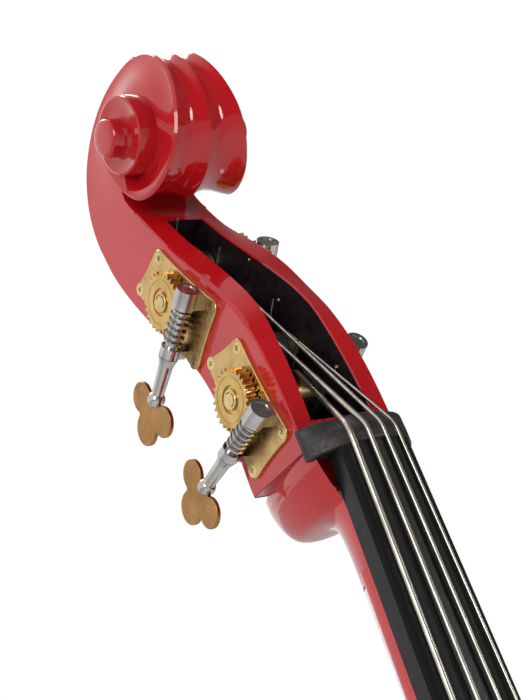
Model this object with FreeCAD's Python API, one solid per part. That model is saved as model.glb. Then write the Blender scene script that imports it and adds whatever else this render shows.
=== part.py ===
"""Three-quarter double bass, built as the separate pieces it comes apart into.

Units are millimetres. The front faces -Y, +X is the treble side, +Z is up, and the
origin is the middle of the endpin's rubber foot, on the floor.
"""
import FreeCAD, Part
import math
import os

from FreeCAD import Matrix, Placement, Rotation, Vector

# ---- Whole instrument ----------------------------------------------------------------
STRING_LENGTH = 1050.0
BODY_LENGTH = 1110.0
BODY_BOTTOM_Z = 150.0
BRIDGE_ABOVE_BOTTOM = 500.0
NECK_TILT = 10.5
OVERSTAND = 30.0

# ---- Soundbox ------------------------------------------------------------------------
RIB_DEPTH = 190.0
RIB_THICKNESS = 3.0
PLATE_THICKNESS = 6.0
EDGE_OVERHANG = 6.0
ARCH_HEIGHT = 28.0
ARCH_MARGIN = 14.0
LINING_WIDTH = 6.0
LINING_DEPTH = 16.0
BUTTON_RADIUS = 33.0

# ---- Fingerboard, nut and strings ------------------------------------------------------
BOARD_LENGTH = 860.0
BOARD_NUT_WIDTH = 43.0
BOARD_FLARE = 0.0598
BOARD_SIDE = 10.9
BOARD_CROWN_NUT = 65.0
BOARD_CROWN_END = 80.0
NUT_HALF_WIDTH = 32.9
NUT_LENGTH = 17.0
NUT_CROWN_Y = -5.6
NUT_END_Y = 12.5
NUT_SEAT_Y = 15.0
STRING_NAMES = ("e", "a", "d", "g")
STRING_DIAMETER = {"e": 3.4, "a": 2.9, "d": 2.4, "g": 1.9}
NUT_SPACING = 9.8
BRIDGE_SPACING = 28.3
TAIL_SPACING = 13.0
NUT_BEND_AT = 8.0
NUT_BEND_RADIUS = 12.0

# ---- Pegbox: half widths at the nut, and how fast they narrow --------------------------
CHEEK_HALF = 31.2
CHEEK_TAPER = 0.04
CAVITY_HALF = 20.3
CAVITY_TAPER = 0.05
CHIN_RADIUS = 29.5
CHIN_CENTRE = (72.0, 10.0)
SCROLL_EYE = (64.0, 221.0)

# ---- Tuning machine (a along the worm, b towards the scroll, n out of the cheek) --------
GEAR_TEETH = 27
GEAR_MODULE = 1.2
GEAR_TIP_RADIUS = 16.7
GEAR_ROOT_RADIUS = 14.5
GEAR_BACK = 2.8
GEAR_FRONT = 9.3
GEAR_RECESS_RADIUS = 7.6
GEAR_RECESS_DEPTH = 1.1
MACHINE_PLATE = 2.0
WORM_OFFSET = 20.6
WORM_HEIGHT = 9.6
WORM_TIP_RADIUS = 5.5
WORM_ROOT_RADIUS = 3.55
WORM_START = -9.6
WORM_END = 14.4
WORM_TURNS = 6
CAP_END = -21.0
CAP_RADIUS = 6.2
JOURNAL_RADIUS = 4.0
COLLAR_END = 20.6
COLLAR_RADIUS = 5.6
KEY_BALL = 48.5
KEY_BALL_RADIUS = 4.9
KEY_THICKNESS = 2.4
ROLLER_RADIUS = 8.0
ROLLER_JOURNAL = 5.0
BUSH_RADIUS = 7.0
FAR_BUSH_LENGTH = 8.0
RUNNING_GAP = 0.05
STRING_GAP = 0.5

# Side (-1 bass, +1 treble), centre on the cheek (y, z), worm's fall in degrees
MACHINES = {
    "e": (-1, 48.0, 52.9, 9.0),
    "a": (-1, 79.6, 127.9, 29.0),
    "d": (1, 92.0, 155.0, 36.0),
    "g": (1, 54.5, 82.0, 18.0),
}
# Where each string reaches its roller along X, then its coil's middle, turns and free end
STRING_ARRIVAL = {"e": 3.0, "a": -6.0, "d": 3.0, "g": 11.0}
COIL_MIDDLE = {"e": 11.5, "a": 2.5, "d": -4.0, "g": 4.5}
COIL_TURNS = {"e": 2.4, "a": 3.2, "d": 3.6, "g": 4.2}
TAIL_ACROSS = {"e": 8.3, "a": 6.2, "d": -4.0, "g": 7.5}
TAIL_HEADING = 38.0
TAIL_LENGTH = 24.0

# ---- Endpin --------------------------------------------------------------------------
ENDPIN_RADIUS = 5.0
ENDPIN_ROD_LENGTH = 440.0
FOOT_HEIGHT = 30.0
FOOT_RADIUS = 13.0
SOCKET_RADIUS = 15.0
COLLAR_DEPTH = 30.0

FRONT_Y = -RIB_DEPTH / 2
BACK_Y = RIB_DEPTH / 2
BODY_TOP_Z = BODY_BOTTOM_Z + BODY_LENGTH
BRIDGE_Z = BODY_BOTTOM_Z + BRIDGE_ABOVE_BOTTOM
PITCH = math.pi * GEAR_MODULE
LEAD_TAN = PITCH / (math.pi * (WORM_TIP_RADIUS + WORM_ROOT_RADIUS))
X_AXIS = Vector(1, 0, 0)
Y_AXIS = Vector(0, 1, 0)
Z_AXIS = Vector(0, 0, 1)
ORIGIN = Vector(0, 0, 0)


# ---- Small geometry helpers ------------------------------------------------------------
def neck_frame():
    """The neck's frame: origin at the nut end of the fingerboard, +Z along the neck."""
    tilt = math.radians(NECK_TILT)
    edge_y = FRONT_Y - PLATE_THICKNESS - OVERSTAND - BOARD_SIDE
    reach = STRING_LENGTH - (BODY_TOP_Z - BRIDGE_Z) / math.cos(tilt)
    origin = Vector(0, edge_y + reach * math.sin(tilt), BODY_TOP_Z + reach * math.cos(tilt))
    return Placement(origin, Rotation(X_AXIS, -NECK_TILT))


def from_neck(shape):
    """Move a shape made in the neck's frame to its place on the instrument."""
    return shape.transformed(neck_frame().toMatrix())


def box(low, high):
    """A box between two corners."""
    size = [b - a for a, b in zip(low, high)]
    return Part.makeBox(size[0], size[1], size[2], Vector(*low))


def rod(start, end, radius):
    """A round bar between two points."""
    axis = end - start
    return Part.makeCylinder(radius, axis.Length, start, axis)


def fuse_all(shapes):
    """One solid from several that overlap."""
    return shapes[0].multiFuse(shapes[1:]).removeSplitter()


def prism(edges, direction):
    """A solid swept straight from a closed outline."""
    wire = Part.Wire(Part.__sortEdges__(edges))
    return Part.Face(wire).extrude(direction)


def smooth(points, start=None, end=None):
    """A smooth edge through points, with end directions where they are given."""
    curve = Part.BSplineCurve()
    if start is None:
        curve.interpolate(Points=points)
    else:
        curve.interpolate(Points=points, InitialTangent=start, FinalTangent=end)
    return curve.toShape()


def line(start, end):
    """A straight edge."""
    return Part.LineSegment(start, end).toShape()


def tangent_arcs(start, heading, ends):
    """Arcs that follow on smoothly from each other, as (first, middle, last) points.

    Points are (across, along) pairs and the heading is in degrees.
    """
    arcs = []
    across, along = start
    for end_across, end_along in ends:
        step = (end_across - across, end_along - along)
        chord = math.hypot(*step)
        bend = math.degrees(math.atan2(step[1], step[0])) - heading
        bend = (bend + 180) % 360 - 180
        rise = chord / 2 * math.tan(math.radians(bend / 2))
        middle = ((across + end_across) / 2 + step[1] / chord * rise,
                  (along + end_along) / 2 - step[0] / chord * rise)
        arcs.append(((across, along), middle, (end_across, end_along)))
        heading += 2 * bend
        across, along = end_across, end_along
    return arcs


def rounded_path(points, radii):
    """A wire of straight runs with a tangent arc at each inner point."""
    edges = []
    start = points[0]
    for before, corner, after, radius in zip(points, points[1:], points[2:], radii):
        into = (corner - before).normalize()
        out = (after - corner).normalize()
        half_turn = into.getAngle(out) / 2
        setback = radius * math.tan(half_turn)
        first = corner - into * setback
        last = corner + out * setback
        inward = (out - into).normalize()
        centre = corner + inward * (radius / math.cos(half_turn))
        middle = centre - inward * radius
        edges.append(line(start, first))
        edges.append(Part.Arc(first, middle, last).toShape())
        start = last
    edges.append(line(start, points[-1]))
    return edges


def tube(edges, radius):
    """A round cord along joined edges."""
    path = Part.Wire(edges)
    first = edges[0]
    heading = first.tangentAt(first.FirstParameter)
    circle = Part.Circle(first.valueAt(first.FirstParameter), heading, radius)
    return path.makePipeShell([Part.Wire(circle.toShape())], True, False)


def export(name, shape):
    """Write one piece to its own file."""
    shape.exportStep("parts/" + name + ".step")


# ---- Soundbox ----------------------------------------------------------------------------
def half_outline():
    """The treble half of the soundbox's outline, from the bottom to the neck root."""
    lower = tangent_arcs((0, 0), 0, [(190, 36), (335, 235), (318, 350), (283, 420), (268, 448), (266, 466)])
    waist = tangent_arcs((262, 476), 165, [(197, 530), (182, 605), (197, 690), (232, 750), (243, 757)])
    upper = tangent_arcs((241, 768), 125, [(238, 790), (255, 880), (205, 1000), (95, 1065), (36, BODY_LENGTH)])
    return lower, waist, upper


def outline_face():
    """The soundbox's outline as a flat face in the middle of the ribs."""
    edges = []
    for side in (-1, 1):
        def point(pair, sign=side):
            return Vector(sign * pair[0], 0, BODY_BOTTOM_Z + pair[1])

        previous = None
        for run in half_outline():
            if previous is not None:
                edges.append(line(point(previous), point(run[0][0])))
            for first, middle, last in run:
                edges.append(Part.Arc(point(first), point(middle), point(last)).toShape())
            previous = run[-1][2]
    root = half_outline()[2][-1][2][0]
    edges.append(line(Vector(-root, 0, BODY_TOP_Z), Vector(root, 0, BODY_TOP_Z)))
    return Part.Face(Part.Wire(Part.__sortEdges__(edges)))


def inset_prism(inset, low_y, high_y):
    """The space inside the outline, drawn in by a margin, between two depths."""
    face = outline_face()
    if inset:
        face = face.makeOffset2D(-inset)
    prism_solid = face.extrude(Vector(0, high_y - low_y, 0))
    return prism_solid.translated(Vector(0, low_y, 0))


def arch_half_width(along):
    """Half the width that the arching spans at a height above the bottom edge."""
    stations = ((-40, 250), (235, 335), (605, 182), (880, 255), (1150, 120))
    for (low, low_width), (high, high_width) in zip(stations, stations[1:]):
        if along <= high:
            blend = (1 - math.cos(math.pi * (along - low) / (high - low))) / 2
            return low_width + (high_width - low_width) * blend - ARCH_MARGIN
    return stations[-1][1] - ARCH_MARGIN


def arch_rise(across, along):
    """How far the arching stands out of the flat edge at a point of a plate."""
    lengthwise = max(0.0, 1 - abs(2 * along / BODY_LENGTH - 1) ** 3.2)
    share = min(1.0, abs(across) / arch_half_width(along))
    return ARCH_HEIGHT * lengthwise * math.cos(math.pi * share / 2) ** 2


def arched_solid(near, far, outward):
    """A slab between two arched surfaces, given by their flat edges' places in Y."""
    columns = range(-12, 13)
    rows = range(-1, 28)
    grid = []
    for column in columns:
        across = column * 29.0
        grid.append([Vector(across, near + outward * arch_rise(across, row * 43.0), BODY_BOTTOM_Z + row * 43.0)
                     for row in rows])
    surface = Part.BSplineSurface()
    surface.interpolate(grid)
    return surface.toShape().extrude(Vector(0, far - near, 0))


def sound_hole(side):
    """The cutter for one sound hole: a long curved slot between two round eyes."""
    middle_x, middle_z = 105.0, BRIDGE_Z + 12
    upper = Vector(side * (middle_x - 22), 0, middle_z + 78)
    lower = Vector(side * (middle_x + 30), 0, middle_z - 74)
    depth = Vector(0, ARCH_HEIGHT + 60, 0)
    start = Vector(0, FRONT_Y - ARCH_HEIGHT - 40, 0)
    eyes = [Part.makeCylinder(radius, depth.y, start + place, Y_AXIS)
            for place, radius in ((upper, 10.5), (lower, 13.0))]
    spine = [upper + Vector(side * 10, 0, 4), Vector(side * (middle_x + 3), 0, middle_z + 60),
             Vector(side * (middle_x + 4), 0, middle_z), Vector(side * (middle_x + 5), 0, middle_z - 58),
             lower + Vector(-side * 12, 0, -5)]
    widths = (2.0, 6.0, 8.5, 6.0, 2.0)
    inner = [point - X_AXIS * width for point, width in zip(spine, widths)]
    outer = [point + X_AXIS * width for point, width in zip(spine, widths)]
    slot = prism([smooth(inner), line(inner[-1], outer[-1]), smooth(outer), line(outer[0], inner[0])], depth)
    return fuse_all([slot.translated(start)] + eyes)


def button():
    """The round tongue of the back that covers the heel."""
    disc = Part.makeCylinder(BUTTON_RADIUS, PLATE_THICKNESS, Vector(0, BACK_Y, BODY_TOP_Z - 4), Y_AXIS)
    return disc


def plates():
    """The arched front with its sound holes, and the arched back with its button."""
    prism_solid = inset_prism(0, -RIB_DEPTH, RIB_DEPTH)
    front = arched_solid(FRONT_Y - PLATE_THICKNESS, FRONT_Y, -1).common(prism_solid)
    for side in (-1, 1):
        front = front.cut(sound_hole(side))
    front = front.cut(saddle_block())
    back = arched_solid(BACK_Y, BACK_Y + PLATE_THICKNESS, 1).common(prism_solid)
    return front, back.fuse(button()).removeSplitter()


def saddle_block():
    """The ebony block let into the front's bottom edge for the tail cord."""
    low = (-45, FRONT_Y - PLATE_THICKNESS - 7, BODY_BOTTOM_Z - 2)
    high = (45, FRONT_Y, BODY_BOTTOM_Z + 12)
    block = box(low, high)
    edge = [item for item in block.Edges if abs(item.CenterOfMass.y - low[1]) < 0.1
            and item.Length > 50 and item.CenterOfMass.z < BODY_BOTTOM_Z]
    return block.makeFillet(6.0, edge)


def rib_garland():
    """Six ribs between the plates, one for each bout on each side."""
    ring = inset_prism(EDGE_OVERHANG, FRONT_Y, BACK_Y)
    ring = ring.cut(inset_prism(EDGE_OVERHANG + RIB_THICKNESS, FRONT_Y - 1, BACK_Y + 1))
    ring = ring.cut(Part.makeCylinder(SOCKET_RADIUS, 30, Vector(0, 0, BODY_BOTTOM_Z - 10), Z_AXIS))
    reach = 400.0
    low_cut, high_cut = BODY_BOTTOM_Z + 463, BODY_BOTTOM_Z + 763
    spans = ((0.0, low_cut), (low_cut, high_cut), (high_cut, BODY_TOP_Z + 10))
    ribs = []
    for low, high in spans:
        for side in (-1, 1):
            window = box((min(0, side * reach), -RIB_DEPTH, low), (max(0, side * reach), RIB_DEPTH, high))
            ribs.extend(ring.common(window).Solids)
    return Part.makeCompound(ribs)


def corner_blocks():
    """Four blocks that fill the soundbox's corners."""
    inside = inset_prism(EDGE_OVERHANG + RIB_THICKNESS, FRONT_Y, BACK_Y)
    blocks = []
    for side in (-1, 1):
        for low_x, high_x, low_z, high_z in ((206, 285, 425, 505), (196, 262, 725, 795)):
            low = (min(side * low_x, side * high_x), FRONT_Y, BODY_BOTTOM_Z + low_z)
            high = (max(side * low_x, side * high_x), BACK_Y, BODY_BOTTOM_Z + high_z)
            solids = inside.common(box(low, high)).Solids
            blocks.append(max(solids, key=lambda solid: solid.Volume))
    return Part.makeCompound(blocks)


def end_blocks():
    """The neck block at the top and the end block at the bottom."""
    inside = inset_prism(EDGE_OVERHANG + RIB_THICKNESS, FRONT_Y, BACK_Y)
    neck = inside.common(box((-62, FRONT_Y, BODY_TOP_Z - 62), (62, BACK_Y, BODY_TOP_Z)))
    end = inside.common(box((-62, FRONT_Y, BODY_BOTTOM_Z), (62, BACK_Y, BODY_BOTTOM_Z + 48)))
    bore = Part.makeCylinder(SOCKET_RADIUS, 80, Vector(0, 0, BODY_BOTTOM_Z - 10), Z_AXIS)
    return neck, end.cut(bore)


def lining_strips(blockers):
    """Thin strips that widen the glue joint between the ribs and each plate."""
    outer = EDGE_OVERHANG + RIB_THICKNESS
    strips = []
    for low_y in (FRONT_Y, BACK_Y - LINING_DEPTH):
        ring = inset_prism(outer, low_y, low_y + LINING_DEPTH)
        ring = ring.cut(inset_prism(outer + LINING_WIDTH, low_y - 1, low_y + LINING_DEPTH + 1))
        strips.extend(ring.cut(blockers).Solids)
    return Part.makeCompound([strip for strip in strips if strip.Volume > 500])


def bass_bar():
    """The long bar glued under the front on the bass side."""
    under = arched_solid(FRONT_Y, FRONT_Y + 60, -1)
    floor = BODY_BOTTOM_Z
    profile = [Vector(-66, FRONT_Y - 40, floor + 170), Vector(-66, FRONT_Y - 40, floor + 930)]
    curve = [Vector(-66, FRONT_Y - 14, floor + 930), Vector(-66, FRONT_Y + 8, floor + 550),
             Vector(-66, FRONT_Y - 14, floor + 170)]
    edges = [line(*profile), line(profile[1], curve[0]), smooth(curve), line(curve[2], profile[0])]
    return prism(edges, Vector(20, 0, 0)).common(under)


def sound_post():
    """The round post that stands between the plates behind the treble foot."""
    place = Vector(58, -RIB_DEPTH, BRIDGE_Z - 25)
    post = Part.makeCylinder(9.0, 2 * RIB_DEPTH, place, Y_AXIS)
    post = post.cut(arched_solid(FRONT_Y, FRONT_Y - 150, -1))
    post = post.cut(arched_solid(BACK_Y, BACK_Y + 150, 1))
    return post


# ---- Bridge, tailpiece and endpin ------------------------------------------------------------
def string_places():
    """Each string's middle at the nut and at the bridge, in the neck's frame."""
    outer_nut, inner_nut = 2.5, 4.4
    outer_bridge, inner_bridge = 18.0, 25.6
    places = {}
    for index, name in enumerate(STRING_NAMES):
        step = index - 1.5
        outer = abs(step) > 1
        lift = (outer_nut if outer else inner_nut) + STRING_DIAMETER[name] / 2
        nut = Vector(step * NUT_SPACING, -lift, 0)
        bridge = Vector(step * BRIDGE_SPACING, -(outer_bridge if outer else inner_bridge), -STRING_LENGTH)
        places[name] = (nut, bridge)
    return places


def bridge(string_solids):
    """The bridge: two feet, a heart, two side cut-outs and a crowned, grooved top."""
    thick, thin = 20.0, 9.0
    frame = neck_frame()
    tops = {name: frame.multVec(ends[1]) for name, ends in string_places().items()}
    outer_y = tops["e"].y + 0.5
    inner_y = tops["a"].y + 0.5
    base = FRONT_Y - PLATE_THICKNESS
    half = [Vector(80, base, 0), Vector(80, base - 24, 0), Vector(66, base - 44, 0), Vector(62, base - 80, 0),
            Vector(74, base - 100, 0), Vector(66, base - 124, 0), Vector(52, outer_y + 3, 0)]
    crown = Part.Arc(half[-1], Vector(0, inner_y - 1.2, 0), Vector(-half[-1].x, half[-1].y, 0)).toShape()
    mirrored = [Vector(-point.x, point.y, 0) for point in half]
    edges = [line(half[0], half[1]), smooth(half[1:]), crown, smooth(mirrored[1:]), line(mirrored[0], mirrored[1]),
             line(half[0], mirrored[0])]
    blank = prism(edges, Vector(0, 0, thick))
    legs = Part.makeCylinder(30, 3 * thick, Vector(0, base - 4, -thick), Z_AXIS)
    heart = Part.makeCylinder(11, 3 * thick, Vector(0, base - 84, -thick), Z_AXIS)
    arm = box((-3.5, base - 84, -thick), (3.5, base - 60, 2 * thick))
    blank = blank.cut(fuse_all([legs, heart, arm]))
    for side in (-1, 1):
        eye = Part.makeCylinder(13, 3 * thick, Vector(side * 58, base - 92, -thick), Z_AXIS)
        mouth = box((min(side * 58, side * 90), base - 97, -thick), (max(side * 58, side * 90), base - 89, 2 * thick))
        blank = blank.cut(fuse_all([eye, mouth]))
    slope = math.degrees(math.atan((thick - thin) / (base - inner_y)))
    wedge = box((-100, -300, 0), (100, 40, 60))
    wedge.rotate(ORIGIN, X_AXIS, slope)
    blank = blank.cut(wedge.translated(Vector(0, base - 10, thick)))
    blank = blank.translated(Vector(0, 0, BRIDGE_Z - thin / 2))
    blank = blank.cut(arched_solid(FRONT_Y - PLATE_THICKNESS, FRONT_Y + 60, -1))
    for solid in string_solids:
        blank = blank.cut(solid)
    return max(blank.Solids, key=lambda solid: solid.Volume)


def tail_ends():
    """Where the tailpiece's lower and upper ends lie, at its middle depth."""
    top = neck_frame().multVec(string_places()["a"][1])
    rest = Vector(0, FRONT_Y - PLATE_THICKNESS - 15, BODY_BOTTOM_Z)
    slope = (top.y - rest.y) / (top.z - rest.z)
    ends = []
    for height, behind in ((46.0, 2.0), (366.0, 14.5)):
        ends.append(Vector(0, rest.y + slope * height + behind, BODY_BOTTOM_Z + height))
    return ends


def tail_hole(index):
    """The middle of one string's hole through the tailpiece."""
    low, high = tail_ends()
    middle = high + (low - high) * (24 / (high.z - low.z))
    return Vector((index - 1.5) * TAIL_SPACING, middle.y, middle.z)


def tailpiece():
    """A tapered ebony tailpiece with a crowned face and four string holes."""
    low, high = tail_ends()
    sections = []
    for end, half_width in ((low, 22.0), (high, 36.0)):
        left = end + Vector(-half_width, 7, 0)
        right = end + Vector(half_width, 7, 0)
        shoulder_left = end + Vector(-half_width, -2, 0)
        shoulder_right = end + Vector(half_width, -2, 0)
        crown = Part.Arc(shoulder_left, end + Vector(0, -11, 0), shoulder_right).toShape()
        sections.append(Part.Wire([line(left, right), line(right, shoulder_right), crown,
                                   line(shoulder_left, left)]))
    body = Part.makeLoft(sections, True, True)
    for index in range(4):
        hole = tail_hole(index)
        body = body.cut(rod(hole - Y_AXIS * 40, hole + Y_AXIS * 40, 3.4))
    for side in (-1, 1):
        start = Vector(side * 9, low.y + 1, low.z - 5)
        body = body.cut(rod(start, start + Vector(0, 0, 34), 2.6))
    return body


def tail_cord():
    """The steel cord from the tailpiece over the saddle and round the endpin's collar."""
    radius = 2.5
    low = tail_ends()[0]
    loop = SOCKET_RADIUS + radius
    saddle_top = FRONT_Y - PLATE_THICKNESS - 7 - radius
    under = BODY_BOTTOM_Z - 9
    start = Vector(-9, low.y + 1, low.z + 26)
    points = [start, Vector(-9, low.y + 1, low.z - 16), Vector(-9.5, saddle_top, BODY_BOTTOM_Z + 4),
              Vector(-10, saddle_top, under), Vector(-loop, -30, under), Vector(-loop, 0, under)]
    left = rounded_path(points, [40.0, 12.0, 7.5, 40.0])
    bend = Part.Arc(points[-1], Vector(0, loop, under), Vector(loop, 0, under)).toShape()
    mirror = [Vector(-point.x, point.y, point.z) for point in reversed(points)]
    right = rounded_path(mirror, [40.0, 7.5, 12.0, 40.0])
    return tube(left + [bend] + right, radius)


def endpin_pieces():
    """Socket with collar, sliding rod, rubber foot and clamp screw."""
    bore = Part.makeCylinder(ENDPIN_RADIUS + RUNNING_GAP, 200, Vector(0, 0, BODY_BOTTOM_Z - 60), Z_AXIS)
    collar_z = BODY_BOTTOM_Z - COLLAR_DEPTH
    plug = Part.makeCylinder(SOCKET_RADIUS, 52, Vector(0, 0, BODY_BOTTOM_Z - 6), Z_AXIS)
    groove = Part.makeCylinder(SOCKET_RADIUS, 12, Vector(0, 0, BODY_BOTTOM_Z - 15), Z_AXIS)
    flange = Part.makeCylinder(21, 5, Vector(0, 0, BODY_BOTTOM_Z - 19), Z_AXIS)
    sleeve = Part.makeCylinder(12, 12, Vector(0, 0, collar_z), Z_AXIS)
    screw_z = collar_z + 5
    thread = Part.makeCylinder(3.0 + RUNNING_GAP, 30, Vector(0, 0, screw_z), Vector(0, -1, 0))
    socket = fuse_all([plug, groove, flange, sleeve]).cut(bore).cut(thread)
    shaft = rod(Vector(0, -ENDPIN_RADIUS - 0.4, screw_z), Vector(0, -24, screw_z), 3.0)
    head = Part.makeCylinder(4.5, 10, Vector(0, -22, screw_z), Vector(0, -1, 0))
    wings = box((-12, -31.5, screw_z - 1.6), (12, -23, screw_z + 1.6))
    wings = wings.makeFillet(3.5, [edge for edge in wings.Edges if abs(edge.tangentAt(0).z) > 0.9])
    screw = fuse_all([shaft, head, wings])
    pin = rod(Vector(0, 0, FOOT_HEIGHT - 16), Vector(0, 0, FOOT_HEIGHT - 16 + ENDPIN_ROD_LENGTH), ENDPIN_RADIUS)
    foot = Part.makeCone(FOOT_RADIUS, FOOT_RADIUS - 4, FOOT_HEIGHT, ORIGIN, Z_AXIS).cut(pin)
    rim = [edge for edge in foot.Edges if edge.CenterOfMass.z < 0.1 and edge.Length > 6 * FOOT_RADIUS]
    foot = foot.makeFillet(2.0, rim)
    return socket, pin, foot, screw


# ---- Neck, pegbox, scroll and fingerboard ------------------------------------------------------
def tapered(profile, half, taper):
    """A side profile given its thickness, cut to two faces that close in towards the scroll."""
    reach = half + 12
    solid = prism(profile, Vector(2 * reach, 0, 0)).translated(Vector(-reach, 0, 0))
    angle = math.degrees(math.atan(taper))
    for side in (-1, 1):
        low = -200 if side < 0 else 0
        slab = box((low, -300, -300), (low + 200, 400, 500))
        slab.rotate(ORIGIN, Y_AXIS, -side * angle)
        solid = solid.cut(slab.translated(Vector(side * half, 0, 0)))
    return solid


def side_points(pairs):
    """Points of a side view, from (y, z) pairs."""
    return [Vector(0, y, z) for y, z in pairs]


def cheek_profile():
    """The pegbox and scroll seen from the side."""
    front = side_points([(15.2, 0), (15.5, 22), (16.6, 50), (22, 79), (38, 117.5), (66, 158), (90, 188)])
    round_scroll = side_points([(90, 188), (62, 184.5), (33, 197), (22.5, 225), (32, 251), (50, 267.4), (72, 270.3),
                                (95, 264.8), (114.5, 252), (129, 230), (134, 205), (129, 170), (103, 120.5),
                                (78.5, 77), (71.5, 35), (69, 0)])
    return [smooth(front), smooth(round_scroll), line(round_scroll[-1], front[0])]


def cavity_profile():
    """The pegbox's hollow seen from the side."""
    floor = side_points([(60.5, 22.5), (61.8, 50), (66.5, 76), (90.5, 120), (111.5, 165)])
    lid = side_points([(111.5, 165), (82.5, 178.6), (30, 178.6), (-40, 100), (-40, 22.5), (60.5, 22.5)])
    edges = [smooth(floor)]
    edges += [line(first, second) for first, second in zip(lid, lid[1:])]
    return edges


def neck_section(along, half_width, depth):
    """A D-shaped section of the neck, flat under the fingerboard."""
    left = Vector(-half_width, BOARD_SIDE, along)
    right = Vector(half_width, BOARD_SIDE, along)
    round_back = Part.Arc(right, Vector(0, BOARD_SIDE + depth, along), left)
    if depth != half_width:
        points = [Vector(half_width * math.cos(turn), BOARD_SIDE + depth * math.sin(turn), along)
                  for turn in [math.pi * step / 8 for step in range(9)]]
        round_back = Part.BSplineCurve()
        round_back.interpolate(Points=points, InitialTangent=Y_AXIS, FinalTangent=Vector(0, -1, 0))
    return Part.Wire([line(left, right), round_back.toShape()])


def neck_shaft():
    """The neck from the pegbox down to its heel, in the neck's frame."""
    def half(along):
        return (BOARD_NUT_WIDTH - BOARD_FLARE * along) / 2

    stations = ((12, 27), (-100, 27), (-330, 31))
    shaft = Part.makeLoft([neck_section(along, half(along), depth) for along, depth in stations], True, False)
    heel_stations = ((-330, 31), (-366, 44), (-398, 92), (-424, 170), (-452, 236), (-480, 262))
    heel = Part.makeLoft([neck_section(along, half(along), depth) for along, depth in heel_stations], True, False)
    return shaft, heel


def machine_point(side, y, z):
    """The point of a cheek where a machine's gear is centred."""
    return Vector(side * (CHEEK_HALF - CHEEK_TAPER * z), y, z)


def machine_axes(side, fall):
    """Directions of a machine: along the worm, across it, and out of the cheek."""
    lean = math.atan(CHEEK_TAPER)
    drop = math.radians(fall)
    out = Vector(side * math.cos(lean), 0, math.sin(lean))
    along = Vector(side * math.sin(drop) * CHEEK_TAPER, math.cos(drop), -math.sin(drop)).normalize()
    return along, out.cross(along), out


def machine_matrix(name):
    """The matrix that puts a machine's pieces on its cheek, in the neck's frame."""
    side, y, z, fall = MACHINES[name]
    along, across, out = machine_axes(side, fall)
    place = machine_point(side, y, z)
    return Matrix(along.x, across.x, out.x, place.x,
                  along.y, across.y, out.y, place.y,
                  along.z, across.z, out.z, place.z)


def on_machine(name, shape):
    """Put a piece of a machine on its cheek; the bass side's machines are mirrored."""
    if MACHINES[name][0] < 0:
        shape = shape.mirror(ORIGIN, Y_AXIS)
    return shape.transformed(machine_matrix(name))


def cheek_thickness(name):
    """The cheek's thickness beside a machine."""
    z = MACHINES[name][2]
    return (CHEEK_HALF - CHEEK_TAPER * z) - (CAVITY_HALF - CAVITY_TAPER * z)


def cavity_width(name):
    """The pegbox hollow's full width beside a machine."""
    return 2 * (CAVITY_HALF - CAVITY_TAPER * MACHINES[name][2])


def neck_and_scroll(plates_solid):
    """Neck, heel, pegbox and scroll, carved from one piece."""
    eye_y, eye_z = SCROLL_EYE
    head = tapered(cheek_profile(), CHEEK_HALF, CHEEK_TAPER)
    turns = [(36.0, 29.0), (21.0, 33.0), (11.0, 44.0)]
    discs = [Part.makeCylinder(radius, 2 * half, Vector(-half, eye_y, eye_z), X_AXIS) for radius, half in turns]
    chin = Part.makeSphere(CHIN_RADIUS, Vector(0, *CHIN_CENTRE))
    shaft, heel = neck_shaft()
    carved = fuse_all([head, chin, shaft, heel] + discs)
    carved = carved.cut(tapered(cavity_profile(), CAVITY_HALF, CAVITY_TAPER))
    carved = carved.cut(box((-60, -60, -1), (60, BOARD_SIDE, NUT_LENGTH)))
    carved = carved.cut(box((-60, -60, 0), (60, NUT_SEAT_Y, NUT_LENGTH)))
    carved = carved.cut(box((-60, -60, -500), (60, BOARD_SIDE, 0)))
    for name in MACHINES:
        wall = cheek_thickness(name)
        width = cavity_width(name)
        start = Vector(0, 0, -wall - width - FAR_BUSH_LENGTH)
        bore = Part.makeCylinder(BUSH_RADIUS, wall + width + FAR_BUSH_LENGTH + 20, start, Z_AXIS)
        carved = carved.cut(on_machine(name, bore))
    for screw in screw_places():
        pilot = rod(Vector(*screw, -13.0), Vector(*screw, 1), 1.4)
        for name in MACHINES:
            carved = carved.cut(on_machine(name, pilot))
    carved = from_neck(carved)
    carved = carved.cut(box((-200, -400, 0), (200, 400, BODY_TOP_Z - EDGE_OVERHANG)))
    carved = carved.cut(box((-200, BACK_Y, 0), (200, 400, BODY_TOP_Z + BUTTON_RADIUS)))
    solids = carved.cut(plates_solid).Solids
    return max(solids, key=lambda solid: solid.Volume)


def fingerboard():
    """A long tapering board with a crowned face, in the neck's frame."""
    sections = []
    for along, crown in ((0.0, BOARD_CROWN_NUT), (-BOARD_LENGTH, BOARD_CROWN_END)):
        half = (BOARD_NUT_WIDTH - BOARD_FLARE * along) / 2
        rise = crown - math.sqrt(crown ** 2 - half ** 2)
        left, right = Vector(-half, BOARD_SIDE, along), Vector(half, BOARD_SIDE, along)
        edge_left, edge_right = Vector(-half, 0, along), Vector(half, 0, along)
        top = Part.Arc(edge_right, Vector(0, -rise, along), edge_left).toShape()
        sections.append(Part.Wire([line(left, right), line(right, edge_right), top, line(edge_left, left)]))
    return Part.makeLoft(sections, True, True)


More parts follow.
